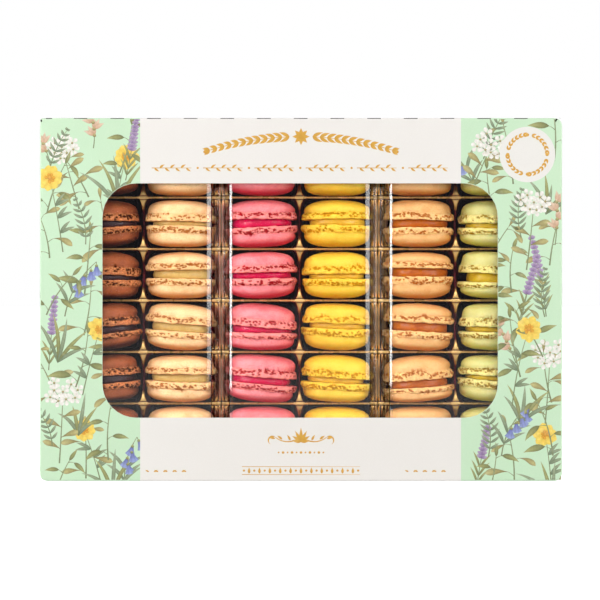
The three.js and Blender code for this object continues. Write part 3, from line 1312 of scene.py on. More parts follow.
@dataclass
class TrayMaker:
    """Makes the formed trays: ribs between pockets, scooped webs and grooved flanges."""

    rows: int = 6
    row_pitch: float = 29.3
    column: float = 21.2
    pocket: Outline = Outline.centred(20.6, 14.1, 2.7, 8.0)
    fillet: float = 0.54
    taper: float = 1.6
    shoulder: float = 14.0
    depth: float = 20.4
    floor_round: float = 5.0
    sheet: float = 0.5
    corner: float = 6.0
    scoop_half_height: float = 11.5
    scoop_depth: float = 7.5
    scoop_between: Point = (2.6, 6.0)
    valley_depth: float = 0.75
    valley_half: float = 0.09
    valleys: tuple[float, ...] = (0.34, 0.8)
    valley_end: float = 0.97
    rib_between: Point = (0.9, 2.6)
    skirt_depth: float = 0.9
    skirt_width: float = 0.16
    flange_rings: int = 20
    counts: Counts = Counts(14, 12, 8)

    LIP_ANGLES = (0, 25, 50, 70, 90)
    WALL_LEVELS = (2.5, 5.0, 8.0, 11.0)
    FLOOR_ANGLES = (20, 40, 60, 80)

    def build(self) -> None:
        """Makes one tray and copies it for the others."""
        gold = MetallisedSheet().build()
        home = middle_of(f"tray_{TRAY_NAMES[0]}")
        first = self._tray(f"tray_{TRAY_NAMES[0]}", home)
        blank = places(first)
        for name in TRAY_NAMES:
            node = f"tray_{name}"
            tray = copied(first, f"formed_{node}")
            centre = middle_of(node)
            move_to(tray, blank + np.array((centre.x - home.x, 0, centre.z - home.z)))
            smoothed(dressed(tray, gold), 50)
            registered(tray, "tray", node)
        bpy.data.objects.remove(first)

    def _tray(self, node: str, centre: Vector) -> Object:
        """Forms one tray from two columns of cells and gives the sheet its thickness.

        Args:
            node: The node whose size it takes.
            centre: Where its middle lies.

        Returns:
            The tray.
        """
        low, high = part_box(node)
        half_x, half_z = (high.x - low.x) / 2 / MM, (high.z - low.z) / 2 / MM
        cells = []
        for row in range(self.rows):
            up = ((self.rows - 1) / 2 - row) * self.row_pitch
            top = half_z - up if row == 0 else self.row_pitch / 2
            bottom = -half_z - up if row == self.rows - 1 else -self.row_pitch / 2
            for side in (-1, 1):
                inner, outer = -self.column, half_x - self.column
                reach = (inner, outer) if side > 0 else (-outer, -inner)
                bounds = Outline(*reach, bottom, top, 0, 0)
                cell = moulded("cell", self._cell_rings(bounds), fill_last=True)
                move_to(cell, places(cell) + np.array((side * self.column, 0, up)))
                cells.append(cell)
        pick(*cells)
        bpy.ops.object.join()
        tray = newest("tray_blank")
        with editing(tray):
            bpy.ops.mesh.remove_doubles(threshold=DOUBLES * 5)
            bpy.ops.mesh.normals_make_consistent(inside=False)
        flat = places(tray)
        from_rib = np.abs((flat[:, 2] / self.row_pitch + 0.5) % 1.0 - 0.5) * self.row_pitch
        set_values(tray, "from_rib", from_rib)
        set_values(tray, "from_edge", half_x - np.abs(flat[:, 0]))
        move_to(tray, self._formed(flat, half_x, half_z))
        facing(tray, Vector((0, -1, 0)), Vector((half_x - 0.5, 0, half_z - 10)))
        applied(tray, "SOLIDIFY", thickness=self.sheet * MM, offset=-1, use_even_offset=False)
        move_to(tray, places(tray) + np.array((centre.x, 0, centre.z)))
        return tray

    def _cell_rings(self, bounds: Outline) -> list[np.ndarray]:
        """Draws a cell's rings from its boundary over the flange and down the pocket.

        Args:
            bounds: The cell's boundary.

        Returns:
            The rings.
        """
        counts, front = self.counts, -self.sheet / 2
        mouth = self.pocket.grown(self.fillet)
        outer, inner = mouth.ring(counts, front, square=bounds), mouth.ring(counts, front)
        rings = [outer + (inner - outer) * share for share in np.linspace(0, 0.95, self.flange_rings)]
        for turn in map(math.radians, self.LIP_ANGLES):
            lip = self.pocket.grown(self.fillet * (1 - math.sin(turn)))
            rings.append(lip.ring(counts, front + self.fillet * (1 - math.cos(turn))))
        for y in (*self.WALL_LEVELS, self.shoulder):
            rings.append(self._wall(self.taper * y / self.shoulder).ring(counts, y))
        drop = self.depth - self.shoulder
        for turn in map(math.radians, self.FLOOR_ANGLES):
            inset = self.taper + self.floor_round * (1 - math.cos(turn))
            rings.append(self._wall(inset).ring(counts, self.shoulder + drop * math.sin(turn)))
        rings.append(self._wall(self.taper + self.floor_round + 2).ring(counts, self.depth))
        return rings

    def _wall(self, inset: float) -> Outline:
        """Returns the pocket's outline drawn in, less so at the top and bottom."""
        half_x, half_z = self.pocket.right - inset, self.pocket.top - inset / 3
        return Outline.centred(half_x, half_z, self.pocket.corner_x, self.pocket.corner_z * 0.8)

    def _formed(self, points: np.ndarray, half_x: float, half_z: float) -> np.ndarray:
        """Gives a tray its scoops, the grooves of its flanges and its round corners.

        Args:
            points: The flat tray's points.
            half_x: Half of its width.
            half_z: Half of its height.

        Returns:
            The formed tray's points.
        """
        x, y, z = points.T
        row = (z + self.rows * self.row_pitch / 2) / self.row_pitch
        local = (row - np.floor(row) - 0.5) * self.row_pitch
        inside = np.abs(z) < self.rows * self.row_pitch / 2
        near_web = 1 - smooth_step(np.abs(x), *self.scoop_between)
        bell = np.clip(np.abs(local) / self.scoop_half_height, 0, 1)
        dip = self.scoop_depth * np.cos(bell * math.pi / 2) ** 2 * near_web * inside
        y = y + dip * np.clip(1 - y / self.shoulder, 0, 1)
        flange = half_x - self.column - self.pocket.right - self.fillet
        inward = np.clip((half_x - np.abs(x)) / flange, 0, 1)
        between = smooth_step(np.abs(np.abs(local) - self.row_pitch / 2), *self.rib_between)
        valleys = sum(np.exp(-(((inward - at) / self.valley_half) ** 2)) for at in self.valleys)
        skirt = 1 - smooth_step(inward, 0.0, self.skirt_width)
        sunk = self.valley_depth * valleys * between * (inward < self.valley_end) * inside
        y = y + (sunk + self.skirt_depth * skirt) * (y < 0.5)
        corner = self.corner
        over_x, over_z = np.abs(x) - (half_x - corner), np.abs(z) - (half_z - corner)
        far = np.hypot(over_x, over_z)
        past = (over_x > 0) & (over_z > 0) & (far > corner)
        pull = np.where(past, corner / np.maximum(far, 1e-6), 1)
        x = np.where(past, np.sign(x) * (half_x - corner + over_x * pull), x)
        z = np.where(past, np.sign(z) * (half_z - corner + over_z * pull), z)
        return np.stack((x, y, z), 1)


@dataclass
class LidMaker:
    """Makes the clear lids: a rim on the flange and a drafted cover with rounded edges."""

    base_half: Point = (43.0, 96.5)
    top_half: Point = (37.8, 91.2)
    facet: Point = (1.45, 1.0)
    right_facet: Point = (37.15, 39.7)
    corner: float = 6.0
    sheet: float = 0.5
    smooth_angle: float = 28.0
    counts: Counts = Counts(20, 40, 6)

    WALL_SHARES = (0.25, 0.5, 0.75, 0.95, 0.985)
    FACET_SHARES = (0.06, 0.12, 0.88, 0.94)
    TOP_INSETS = (0.12, 0.35, 2)

    def build(self) -> None:
        """Makes the three lids."""
        clear = ClearSheet().build()
        for name in TRAY_NAMES:
            node = f"lid_{name}"
            low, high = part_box(node)
            lid = moulded(f"formed_{node}", self._rings(low / MM, high / MM), fill_last=True)
            with editing(lid):
                bpy.ops.mesh.normals_make_consistent(inside=False)
            facing(lid, Vector((0, -1, 0)), Vector(((low.x + high.x) / 2 / MM, low.y / MM, 0)))
            applied(lid, "SOLIDIFY", thickness=self.sheet * MM, offset=-1, use_even_offset=True)
            smoothed(dressed(lid, clear), self.smooth_angle)
            registered(lid, "lid", node)

    def _rings(self, low: Vector, high: Vector) -> list[np.ndarray]:
        """Draws a lid's rings from its rim up to its flat top.

        Args:
            low: Low corner of the lid's box.
            high: High corner of the lid's box.

        Returns:
            The rings.
        """
        centre = (low + high) / 2
        half_x, half_z = (high.x - low.x) / 2, (high.z - low.z) / 2
        rim, top, counts = high.y - self.sheet, low.y, self.counts
        base = Outline.centred(*self.base_half, self.corner)
        flat = Outline.centred(*self.top_half, self.corner - self.facet[0])
        rings = [Outline.centred(half_x, half_z, self.corner).ring(counts, rim)]
        rings += [base.grown(0.5).ring(counts, rim), base.grown(0.15).ring(counts, rim - 0.15)]
        rings.append(base.ring(counts, rim - 0.5))
        wide, deep = self.facet
        wall = replace(flat.grown(wide), right=self.right_facet[1]).ring(counts, top + deep)
        flat = replace(flat, right=self.right_facet[0])
        rings += [rings[-1] + (wall - rings[-1]) * share for share in self.WALL_SHARES]
        edge = flat.ring(counts, top)
        rings += [wall + (edge - wall) * share for share in self.FACET_SHARES]
        rings += [flat.grown(-inset).ring(counts, top) for inset in self.TOP_INSETS]
        return [shifted(ring, centre.x, centre.z) for ring in rings]


@dataclass(frozen=True)
class WornCorner:
    """A corner of the front that is pushed in: its signs across and up, and how far."""

    across: int
    up: int
    wear: float


class Face(Enum):
    """Faces of the board. Each value is the number of its material on the carton."""

    PRINTED = 0
    INNER = 1
    CUT = 2
    # The dark cut faces are painted shade inside the slits.
    CREASE = 3


@dataclass
class CartonMaker:
    """Makes the folded board carton with its window, cut creases, flap joints and worn corners."""

    board: float = 0.8
    skin_gap: float = 0.1
    fold: float = 0.55
    flap_step: float = 0.35
    flap_end: float = 1.3
    flap_lip: float = 0.03
    window: Outline = Outline.centred(110.5, 65.5, 19.0)
    window_x: float = -0.5
    window_z: float = 100.9
    counts: Counts = Counts(40, 24, 8)
    corner_reach: float = 4.6
    least_wear: float = 0.1
    wear_depth: float = 20.0
    crease_pitch: float = 20.5
    crease_first: float = -123.2
    crease_length: float = 7.6
    crease_count: int = 13
    short_crease: float = -140.8
    short_share: float = 0.45
    crease_section: Point = (1.6, 0.42)
    smooth_angle: float = 40.0
    low: Vector = field(init=False)
    high: Vector = field(init=False)

    WORN = (
        WornCorner(1, 1, 0.9), WornCorner(-1, 1, 0.25), WornCorner(-1, -1, 0.75), WornCorner(1, -1, 0.8),
    )
    BACK_INSETS = (90.0, 20.0)
    SIDE_LEVELS = (10.0, 0.0, -10.0)

    def __post_init__(self) -> None:
        """Reads the carton's box in millimetres."""
        self.low, self.high = (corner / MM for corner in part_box("carton"))

    def build(self) -> None:
        """Makes the carton, cuts its creases and gives its faces their finishes."""
        skin = self._skin()
        carton = moulded("folded_carton", skin + self._lining(), fill_last=True, fill_first=True)
        with editing(carton):
            bpy.ops.mesh.normals_make_consistent(inside=False)
        dressed(
            carton,
            PrintedBoard().build(),
            RawBoard("inner face of the board", srgb(196, 188, 176), srgb(150, 142, 130)).build(),
            RawBoard("cut edge of the board", srgb(246, 244, 238), srgb(222, 216, 204)).build(),
            # Painted shade: this dark board stands for the shade inside the cut slits and nicks.
            RawBoard("painted shade in the slits", srgb(58, 58, 48), srgb(30, 30, 26)).build(),
        )
        rings = carton.data.attributes["ring"].data
        for face in carton.data.polygons:
            inner = [rings[vertex].value >= len(skin) for vertex in face.vertices]
            side = Face.INNER if all(inner) else Face.CUT if any(inner) else Face.PRINTED
            face.material_index = side.value
        carton.data.attributes.remove(carton.data.attributes["ring"])
        self._cut_creases(carton)
        smoothed(carton, self.smooth_angle)
        registered(carton, "board", "carton")

    def _around(self, inset: float, y: float, drop: float = 0.0) -> np.ndarray:
        """Draws a ring round the carton.

        Args:
            inset: How far the ring is drawn in on every side.
            y: Depth of the ring.
            drop: How much further it is drawn in at the top and bottom.

        Returns:
            The ring, with its corners worn by its depth.
        """
        low, high, reach = self.low, self.high, self.corner_reach
        box = Outline(
            low.x + inset, high.x - inset, low.z + inset + drop, high.z - inset - drop, reach, reach,
        )
        square, soft = box.ring(self.counts, y, square=box), box.ring(self.counts, y)
        fresh = min(1.0, (y - low.y) / self.wear_depth)
        middle = Vector((low.x + high.x, 0, low.z + high.z)) / 2
        x, z = square[:, 0] - middle.x, square[:, 2] - middle.z
        share = np.zeros(len(square))
        for corner in self.WORN:
            here = (x * corner.across > 0) & (z * corner.up > 0)
            share[here] = corner.wear * (1 - fresh) + self.least_wear * fresh
        return square + (soft - square) * share[:, None]

    def _folded(self, angles_deg: Sequence[int], y: float, inwards: int,
                drop: float = 0.0) -> list[np.ndarray]:
        """Draws rings over a folded edge.

        Args:
            angles_deg: Where on the fold they lie, from 0 on the side to 90 on the face.
            y: Depth of the face.
            inwards: Sign of the direction from the face into the carton.
            drop: How much further they are drawn in at the top and bottom.

        Returns:
            The rings.
        """
        rings = []
        for turn in map(math.radians, angles_deg):
            inset = self.skin_gap + self.fold * (1 - math.cos(turn))
            rings.append(self._around(inset, y + inwards * self.fold * (1 - math.sin(turn)), drop))
        return rings

    def _skin(self) -> list[np.ndarray]:
        """Draws the outer rings.

        Returns:
            The rings from the middle of the back to the window's front edge.
        """
        gap, drop = self.skin_gap, self.flap_step
        front, back = self.low.y + gap, self.high.y - gap
        step = back - self.flap_end
        rings = [self._around(inset, back) for inset in self.BACK_INSETS]
        rings += self._folded((90, 60, 30, 0), back, -1, drop)
        rings += [self._around(gap, step + self.flap_lip, drop), self._around(gap, step)]
        rings += [self._around(gap, y) for y in (*self.SIDE_LEVELS, front + self.fold)]
        rings += self._folded((30, 60, 90), front, 1)
        hole = shifted(self.window.ring(self.counts, front), self.window_x, self.window_z)
        panel = rings[-1]
        rings += [panel + (hole - panel) * share for share in (0.03, 0.5, 0.97, 1.0)]
        return rings

    def _lining(self) -> list[np.ndarray]:
        """Draws the inner rings.

        Returns:
            The rings from the window's rear edge to the middle of the back.
        """
        inset = self.skin_gap + self.board
        front, back = self.low.y + inset, self.high.y - inset
        hole = shifted(self.window.ring(self.counts, front), self.window_x, self.window_z)
        panel = self._around(inset, front)
        rings = [hole + (panel - hole) * share for share in (0.0, 0.03, 0.5)]
        rings += [self._around(inset, y) for y in (front, -10.0, 10.0, back)]
        return rings + [self._around(reach, back) for reach in reversed(self.BACK_INSETS)]

    def _cut_creases(self, carton: Object) -> None:
        """Cuts the row of slits along the front fold at the top, and the nicks at its ends, whose cut faces
        take the dark board as painted shade.

        Args:
            carton: The carton.
        """
        low, high = self.low, self.high
        slits = [
            (self.crease_first + self.crease_pitch * number, self.crease_length)
            for number in range(self.crease_count)
        ]
        slits.append((self.short_crease, self.crease_length * self.short_share))
        y = low.y + 0.4
        bars = [self._bar((x, y, high.z - 0.36), (length, *self.crease_section)) for x, length in slits]
        for x, turn in ((low.x + 0.5, 50), (high.x - 3.4, -50)):
            bars.append(self._bar((x, y, high.z - 1.2), (2.4, 2.0, 0.9), turn))
        pick(*bars)
        bpy.ops.object.join()
        # The cut faces take the dark board as painted shade in the slits.
        cutter = dressed(newest("crease_cutter"), carton.data.materials[Face.CREASE.value])
        applied(carton, "BOOLEAN", operation="DIFFERENCE", solver="EXACT", object=cutter,
                material_mode="TRANSFER")
        bpy.data.objects.remove(cutter)

    @staticmethod
    def _bar(centre: Sequence[float], size: Sequence[float], turn_deg: float = 0.0) -> Object:
        """Adds one bar for cutting.

        Args:
            centre: Its middle.
            size: Its size.
            turn_deg: How far it is turned in the front plane.

        Returns:
            The bar.
        """
        bpy.ops.mesh.primitive_cube_add(size=1.0)
        bar = newest("bar")
        bar.data.transform(Matrix.Diagonal((*size, 1)))
        bar.data.transform(Matrix.Rotation(math.radians(turn_deg), 4, "Y"))
        move_to(bar, places(bar) * MM + np.array(centre))
        return bar


class Petal(Enum):
    """Outlines that a brush stroke can have."""

    STEM = "stem"
    BLADE = "blade"
    LEAF = "leaf"
    SPOON = "spoon"
    OVAL = "oval"
    CUP = "cup"

    def half_width(self, along: np.ndarray) -> np.ndarray:
        """Returns the stroke's half width as a share of its widest.

        Args:
            along: Shares of its length, from root to tip.

        Returns:
            The half width at each.
        """
        curves = {
            STEM: 1 - 0.45 * along,
            BLADE: np.sin(np.pi * along**0.8) ** 0.8,
            LEAF: np.sin(np.pi * along**0.75) ** 1.1,
            SPOON: np.sin(np.pi * along**1.9) ** 0.8 * 0.95 + 0.05,
            OVAL: np.sqrt(np.clip(1 - (2 * along - 1) ** 2, 0, 1)),
            CUP: 0.45 + 0.55 * along**1.4,
        }
        return np.maximum(curves[self], 0.04)


STEM, BLADE, LEAF, SPOON, OVAL, CUP = Petal


@dataclass(frozen=True)
class Tone:
    """Two colours of a stroke, at its root and its tip, with the share that its edges darken."""

    root: Colour
    tip: Colour
    edge: float = 0.28


OLIVE = Tone(srgb(122, 128, 84), srgb(186, 186, 124))
KHAKI = Tone(srgb(138, 126, 80), srgb(206, 196, 136))
SAGE = Tone(srgb(116, 134, 106), srgb(172, 184, 150))
STALK = Tone(srgb(132, 142, 104), srgb(158, 170, 128), 0.12)
SUNNY = Tone(srgb(238, 186, 62), srgb(252, 226, 112), 0.1)
AMBER = Tone(srgb(214, 140, 44), srgb(240, 182, 70), 0.2)
BLUE = Tone(srgb(112, 116, 186), srgb(158, 172, 222), 0.22)
LILAC = Tone(srgb(140, 112, 160), srgb(196, 176, 206), 0.2)
CREAMY = Tone(srgb(232, 226, 214), srgb(252, 250, 246), 0.12)
BLUSH = Tone(srgb(206, 160, 130), srgb(240, 218, 192), 0.15)
GOLD_INK = Tone(srgb(204, 152, 56), srgb(220, 172, 76), 0.0)


class Brush:
    """Lays brush strokes on a flat panel and joins them into one printed piece.

    A panel has its own flat directions, across and up in millimetres. Each stroke is a copy of
    one small grid, moved onto its own curved line, in one of many thin layers.
    """

    LAYER = 0.0012
    LAYERS = 72
    GRID_ROWS = 8
    LINE_POINTS = 33

    def __init__(self) -> None:
        """Draws the plain stroke that the others are copied from."""
        bpy.ops.mesh.primitive_grid_add(x_subdivisions=2, y_subdivisions=self.GRID_ROWS, size=1.0)
        self.blank = newest("stroke_blank")
        flat = places(self.blank) * MM
        self.across, self.along = flat[:, 0] * 2, flat[:, 1] + 0.5
        self.strokes: list[Object] = []

    def stroke(self, shape: Petal, start: Point, heading: float, length: float, width: float, tone: Tone,
               bend: float = 0.0, layer: int = 0) -> Point:
        """Lays one stroke.

        Args:
            shape: Outline of the stroke.
            start: Where its root lies.
            heading: Direction at its root in degrees from the panel's up, to the right.
            length: Length along its line.
            width: Full width at its widest.
            tone: Its colours.
            bend: How far it turns by its tip, in degrees to the right.
            layer: Which thin layer it lies in.

        Returns:
            Where its tip lies.
        """
        fine = np.linspace(0, 1, self.LINE_POINTS)
        turn = np.radians(heading + bend * fine)
        steps = np.stack((np.sin(turn), np.cos(turn)), 1) * length / (self.LINE_POINTS - 1)
        line = np.concatenate(([[0, 0]], np.cumsum((steps[1:] + steps[:-1]) / 2, 0))) + start
        x, z = (np.interp(self.along, fine, line[:, k]) for k in (0, 1))
        angle = np.radians(heading + bend * self.along)
        half = shape.half_width(self.along) * width / 2 * self.across
        high = np.full_like(x, 3 * layer % self.LAYERS * self.LAYER)
        high += len(self.strokes) % 3 * self.LAYER
        piece = copied(self.blank, "stroke")
        move_to(piece, np.stack((x + np.cos(angle) * half, z - np.sin(angle) * half, high), 1))
        share = self.along[:, None]
        ink = np.array(tone.root) * (1 - share) + np.array(tone.tip) * share
        ink = ink * (1 - tone.edge * np.abs(self.across)[:, None])
        colours = np.concatenate((ink, np.ones((len(ink), 1))), 1)
        stored = piece.data.color_attributes.new("ink", "FLOAT_COLOR", "POINT")
        stored.data.foreach_set("color", colours.astype(np.float32).ravel())
        self.strokes.append(piece)
        return tuple(line[-1])

    def dot(self, centre: Point, size: float, tone: Tone, layer: int = 0) -> None:
        """Lays a round dot."""
        self.stroke(OVAL, (centre[0], centre[1] - size / 2), 0.0, size, size, tone, 0.0, layer)

    def lift(self, name: str) -> Object:
        """Joins the strokes laid so far into one piece and starts afresh.

        Args:
            name: Name of the piece.

        Returns:
            The piece, flat at the origin. It casts no shadow, as ink doesn't.
        """
        pick(*self.strokes)
        bpy.ops.object.join()
        self.strokes = []
        piece = newest(name)
        piece.visible_shadow = False
        return piece

    def put_away(self) -> None:
        """Removes the plain stroke."""
        bpy.data.objects.remove(self.blank)


class Plant(Enum):
    """Plants of the pattern. Each value names the method that draws it."""

    WILLOW = "willow"
    SPOONWORT = "spoonwort"
    FERN = "fern"
    GRASS = "grass"
    BUTTERCUP = "buttercup"
    BELLFLOWER = "bellflower"
    LAVENDER = "lavender"
    STARFLOWER = "starflower"
    ROSEBUD = "rosebud"


WILLOW, SPOONWORT, FERN, GRASS, BUTTERCUP, BELLFLOWER, LAVENDER, STARFLOWER, ROSEBUD = Plant
GREENS = (WILLOW, FERN, SPOONWORT, GRASS, WILLOW, SPOONWORT)


@dataclass(frozen=True)
class Spot:
    """Where one plant stands on a panel: its root, its lean in degrees and its height."""

    plant: Plant
    x: float
    z: float
    lean: float
    height: float


Along = Callable[[float], tuple[Point, float]]


class Herbarium:
    """Draws the plants of the printed pattern with a brush."""

    BEDS = 3
    BED_LAYERS = 8

    def __init__(self, brush: Brush, seed: int) -> None:
        """Takes a brush.

        Args:
            brush: The brush.
            seed: Seed of the plants' unevenness.
        """
        self.lay, self.dot = brush.stroke, brush.dot
        self.draw = np.random.default_rng(seed)
        self.bed = 0

    def grow(self, spot: Spot) -> None:
        """Draws the plant of a spot."""
        getattr(self, spot.plant.value)(spot)

    def _layer(self) -> int:
        """Returns the first of the layers that the next plant may use."""
        self.bed += 1
        return self.bed % self.BEDS * self.BED_LAYERS

    def _stalk(self, spot: Spot, width: float, bend: float) -> tuple[Along, int]:
        """Draws a stalk.

        Args:
            spot: Where it stands.
            width: Its width.
            bend: How far it turns by its tip, in degrees.

        Returns:
            What gives the place and heading at a share of it, and the plant's first layer.
        """
        layer = self._layer()
        self.lay(STEM, (spot.x, spot.z), spot.lean, spot.height, width, STALK, bend, layer)

        def at(share: float) -> tuple[Point, float]:
            """Finds a share of the stalk.

            Args:
                share: How far up it is, from 0 to 1.

            Returns:
                Its place and the stalk's heading there.
            """
            turn = np.radians(spot.lean + bend * np.linspace(0, share, 17))
            middle = (turn[1:] + turn[:-1]) / 2
            step = spot.height * share / len(middle)
            x, z = np.sin(middle).sum() * step, np.cos(middle).sum() * step
            return (spot.x + x, spot.z + z), spot.lean + bend * share

        return at, layer

    def _blades(self, at: Along, shares: Sequence[float], spread: float, length: float, width: float,
                tone: Tone, bend: float, layer: int) -> None:
        """Draws a pair of blades at each of some shares of a stalk.

        Args:
            at: The stalk.
            shares: Where the pairs stand on it.
            spread: How far they stand off it, in degrees.
            length: Their length.
            width: Their width.
            tone: Their colours.
            bend: How far they turn outwards by their tips, in degrees.
            layer: Their layer.
        """
        for share in shares:
            place, heading = at(share)
            for side in (-1, 1):
                self.lay(BLADE, place, heading + side * spread, length, width, tone, side * bend, layer)

    def willow(self, spot: Spot, tone: Tone = OLIVE, shape: Petal = LEAF) -> None:
        """Draws an upright twig with drooping leaves in turn on both sides.

        Args:
            spot: Where it stands.
            tone: Colours of the leaves.
            shape: Their outline.
        """
        at, layer = self._stalk(spot, 0.9, self.draw.uniform(-24, 24))
        count = max(4, round(spot.height / 7))
        for k in range(count):
            place, heading = at(0.1 + 0.86 * k / (count - 1))
            side = 1 if k % 2 else -1
            length = self.draw.uniform(8, 13) * (1.1 - 0.4 * k / count)
            turn = heading + side * self.draw.uniform(38, 62)
            tip = self.lay(STEM, place, turn, length * 0.35, 0.45, STALK, side * 25, layer + 1)
            droop = side * self.draw.uniform(10, 60)
            self.lay(shape, tip, turn + side * 40, length, length * 0.3, tone, droop, layer + 2 + k % 2)
        tip, heading = at(1.0)
        self.lay(shape, tip, heading, 8, 2.2, tone, self.draw.uniform(-20, 20), layer + 3)

    def spoonwort(self, spot: Spot) -> None:
        """Draws a twig whose leaves are spoon-shaped."""
        self.willow(spot, KHAKI, SPOON)

    def fern(self, spot: Spot) -> None:
        """Draws a frond with paired leaflets that shorten to the tip.

        Args:
            spot: Where it stands.
        """
        at, layer = self._stalk(spot, 0.7, self.draw.uniform(18, 42) * self.draw.choice((-1, 1)))
        count = max(6, round(spot.height / 3.6))
        for k in range(count):
            share = 0.16 + 0.82 * k / (count - 1)
            place, heading = at(share)
            length = spot.height * 0.2 * math.sin(math.pi * (0.18 + 0.8 * share)) + 1.2
            for side in (-1, 1):
                level = layer + 1 + (k + (side > 0)) % 3
                self.lay(BLADE, place, heading + side * 62, length, 1.5, SAGE, -side * 22, level)

    def grass(self, spot: Spot) -> None:
        """Draws a tuft of arching blades.

        Args:
            spot: Where it stands.
        """
        layer = self._layer()
        for k in range(5):
            lean = spot.lean + (k - 2) * 13 + self.draw.uniform(-5, 5)
            height = spot.height * self.draw.uniform(0.6, 1.0)
            bend = (k - 2) * 22 + self.draw.uniform(-14, 14)
            self.lay(BLADE, (spot.x, spot.z), lean, height, 2.2, OLIVE if k % 2 else SAGE, bend, layer + k)

    def buttercup(self, spot: Spot) -> None:
        """Draws a yellow flower of many broad petals on a leafy stalk.

        Args:
            spot: Where it stands.
        """
        at, layer = self._stalk(spot, 0.7, self.draw.uniform(-16, 16))
        for share in (0.25, 0.45, 0.62):
            place, heading = at(share)
            side = self.draw.choice((-1, 1))
            for spread in (35, 62):
                self.lay(BLADE, place, heading + side * spread, 9, 1.9, SAGE, side * 25, layer + 1)
        centre, heading = at(1.0)
        size = self.draw.uniform(6.6, 8.4)
        for ring, (count, reach, tone) in enumerate(((9, 1.0, SUNNY), (8, 0.74, SUNNY), (7, 0.42, AMBER))):
            for k in range(count):
                turn = heading + 360 * k / count + ring * 21 + self.draw.uniform(-6, 6)
                length = size * reach * self.draw.uniform(0.92, 1.06)
                level = layer + 2 + ring + k % 2
                self.lay(SPOON, centre, turn, length, size * 0.62 * reach, tone, 0, level)
        self.dot(centre, size * 0.3, AMBER, layer + 7)

    def bellflower(self, spot: Spot) -> None:
        """Draws an arching stalk of hanging blue bells.

        Args:
            spot: Where it stands.
        """
        at, layer = self._stalk(spot, 0.75, self.draw.uniform(40, 62) * self.draw.choice((-1, 1)))
        self._blades(at, (0.2, 0.38), 30, 14, 2.0, SAGE, 34, layer + 1)
        for k in range(5):
            place, _ = at(0.55 + 0.45 * k / 4)
            lean = 180 + self.draw.uniform(-26, 26)
            neck = self.lay(STEM, place, lean, 2.2, 0.5, STALK, 0, layer + 2)
            for part, spread in enumerate((-24, 24, 0), 3):
                self.lay(CUP, neck, lean + spread * 0.4, 5.6, 3.0, BLUE, spread * 0.6, layer + part)
            self.dot(neck, 1.7, OLIVE, layer + 6)

    def lavender(self, spot: Spot) -> None:
        """Draws a spike of small lilac buds in whorls.

        Args:
            spot: Where it stands.
        """
        at, layer = self._stalk(spot, 0.6, self.draw.uniform(-18, 18))
        self._blades(at, (0.08, 0.2, 0.34), 20, 10, 1.3, OLIVE, 22, layer + 1)
        for k in range(9):
            place, heading = at(0.5 + 0.5 * k / 8)
            for spread in (-58, 58, -22, 22):
                turn = heading + spread + self.draw.uniform(-8, 8)
                level = layer + 2 + (k + (spread > 0)) % 4
                self.lay(OVAL, place, turn, 3.3 - 0.12 * k, 1.6, LILAC, 0, level)

    def starflower(self, spot: Spot) -> None:
        """Draws a loose head of white five-petalled stars over spoon-shaped leaves.

        Args:
            spot: Where it stands.
        """
        at, layer = self._stalk(spot, 0.8, self.draw.uniform(-14, 14))
        for k, share in enumerate((0.2, 0.36, 0.5, 0.64)):
            place, heading = at(share)
            side = 1 if k % 2 else -1
            self.lay(SPOON, place, heading + side * 58, 11, 3.4, KHAKI, side * 24, layer + 1)
        top, heading = at(1.0)
        fork, _ = at(0.86)
        for k in range(9):
            angle = math.radians(heading + 40 * k)
            reach = self.draw.uniform(4.6, 8.4) if k else 0.0
            centre = (top[0] + reach * math.sin(angle), top[1] + reach * math.cos(angle) * 0.8)
            turn = math.degrees(math.atan2(centre[0] - fork[0], centre[1] - fork[1]))
            self.lay(STEM, fork, turn, math.dist(centre, fork), 0.4, STALK, 0, layer + 1)
            for petal in range(5):
                level = layer + 2 + (k + petal) % 4
                self.lay(SPOON, centre, 72 * petal + 25 * k, 3.7, 2.5, CREAMY, 0, level)
            self.dot(centre, 1.3, KHAKI, layer + 7)

    def rosebud(self, spot: Spot) -> None:
        """Draws a short twig with blush buds.

        Args:
            spot: Where it stands.
        """
        at, layer = self._stalk(spot, 0.6, self.draw.uniform(-30, 30))
        for k in range(4):
            place, heading = at(0.4 + 0.6 * k / 3)
            heading += 34 if k % 2 else -34
            for spread in (0, 22, -22):
                self.lay(LEAF, place, heading + spread, 6.5, 2.6, BLUSH, spread, layer + 2 + k % 3)
            self.dot(place, 1.9, KHAKI, layer + 6)


def planted(columns: Sequence[float], spacing: float, seed: int, bottom: float = -12.0,
            top: float = 188.0) -> tuple[Spot, ...]:
    """Spreads foliage over a panel in jittered columns.

    Args:
        columns: Where the columns stand across the panel.
        spacing: Distance between roots in a column.
        seed: Seed of the jitter.
        bottom: Lowest root.
        top: Highest root.

    Returns:
        The spots.
    """
    draw = np.random.default_rng(seed)
    spots: list[Spot] = []
    for number, column in enumerate(columns):
        level = bottom + (number % 2) * spacing / 2
        while level < top:
            spots.append(Spot(
                GREENS[len(spots) % len(GREENS)], column + draw.uniform(-4, 4), level + draw.uniform(-5, 5),
                draw.uniform(-24, 24), draw.uniform(0.85, 1.25) * spacing,
            ))
            level += spacing
    return tuple(spots)


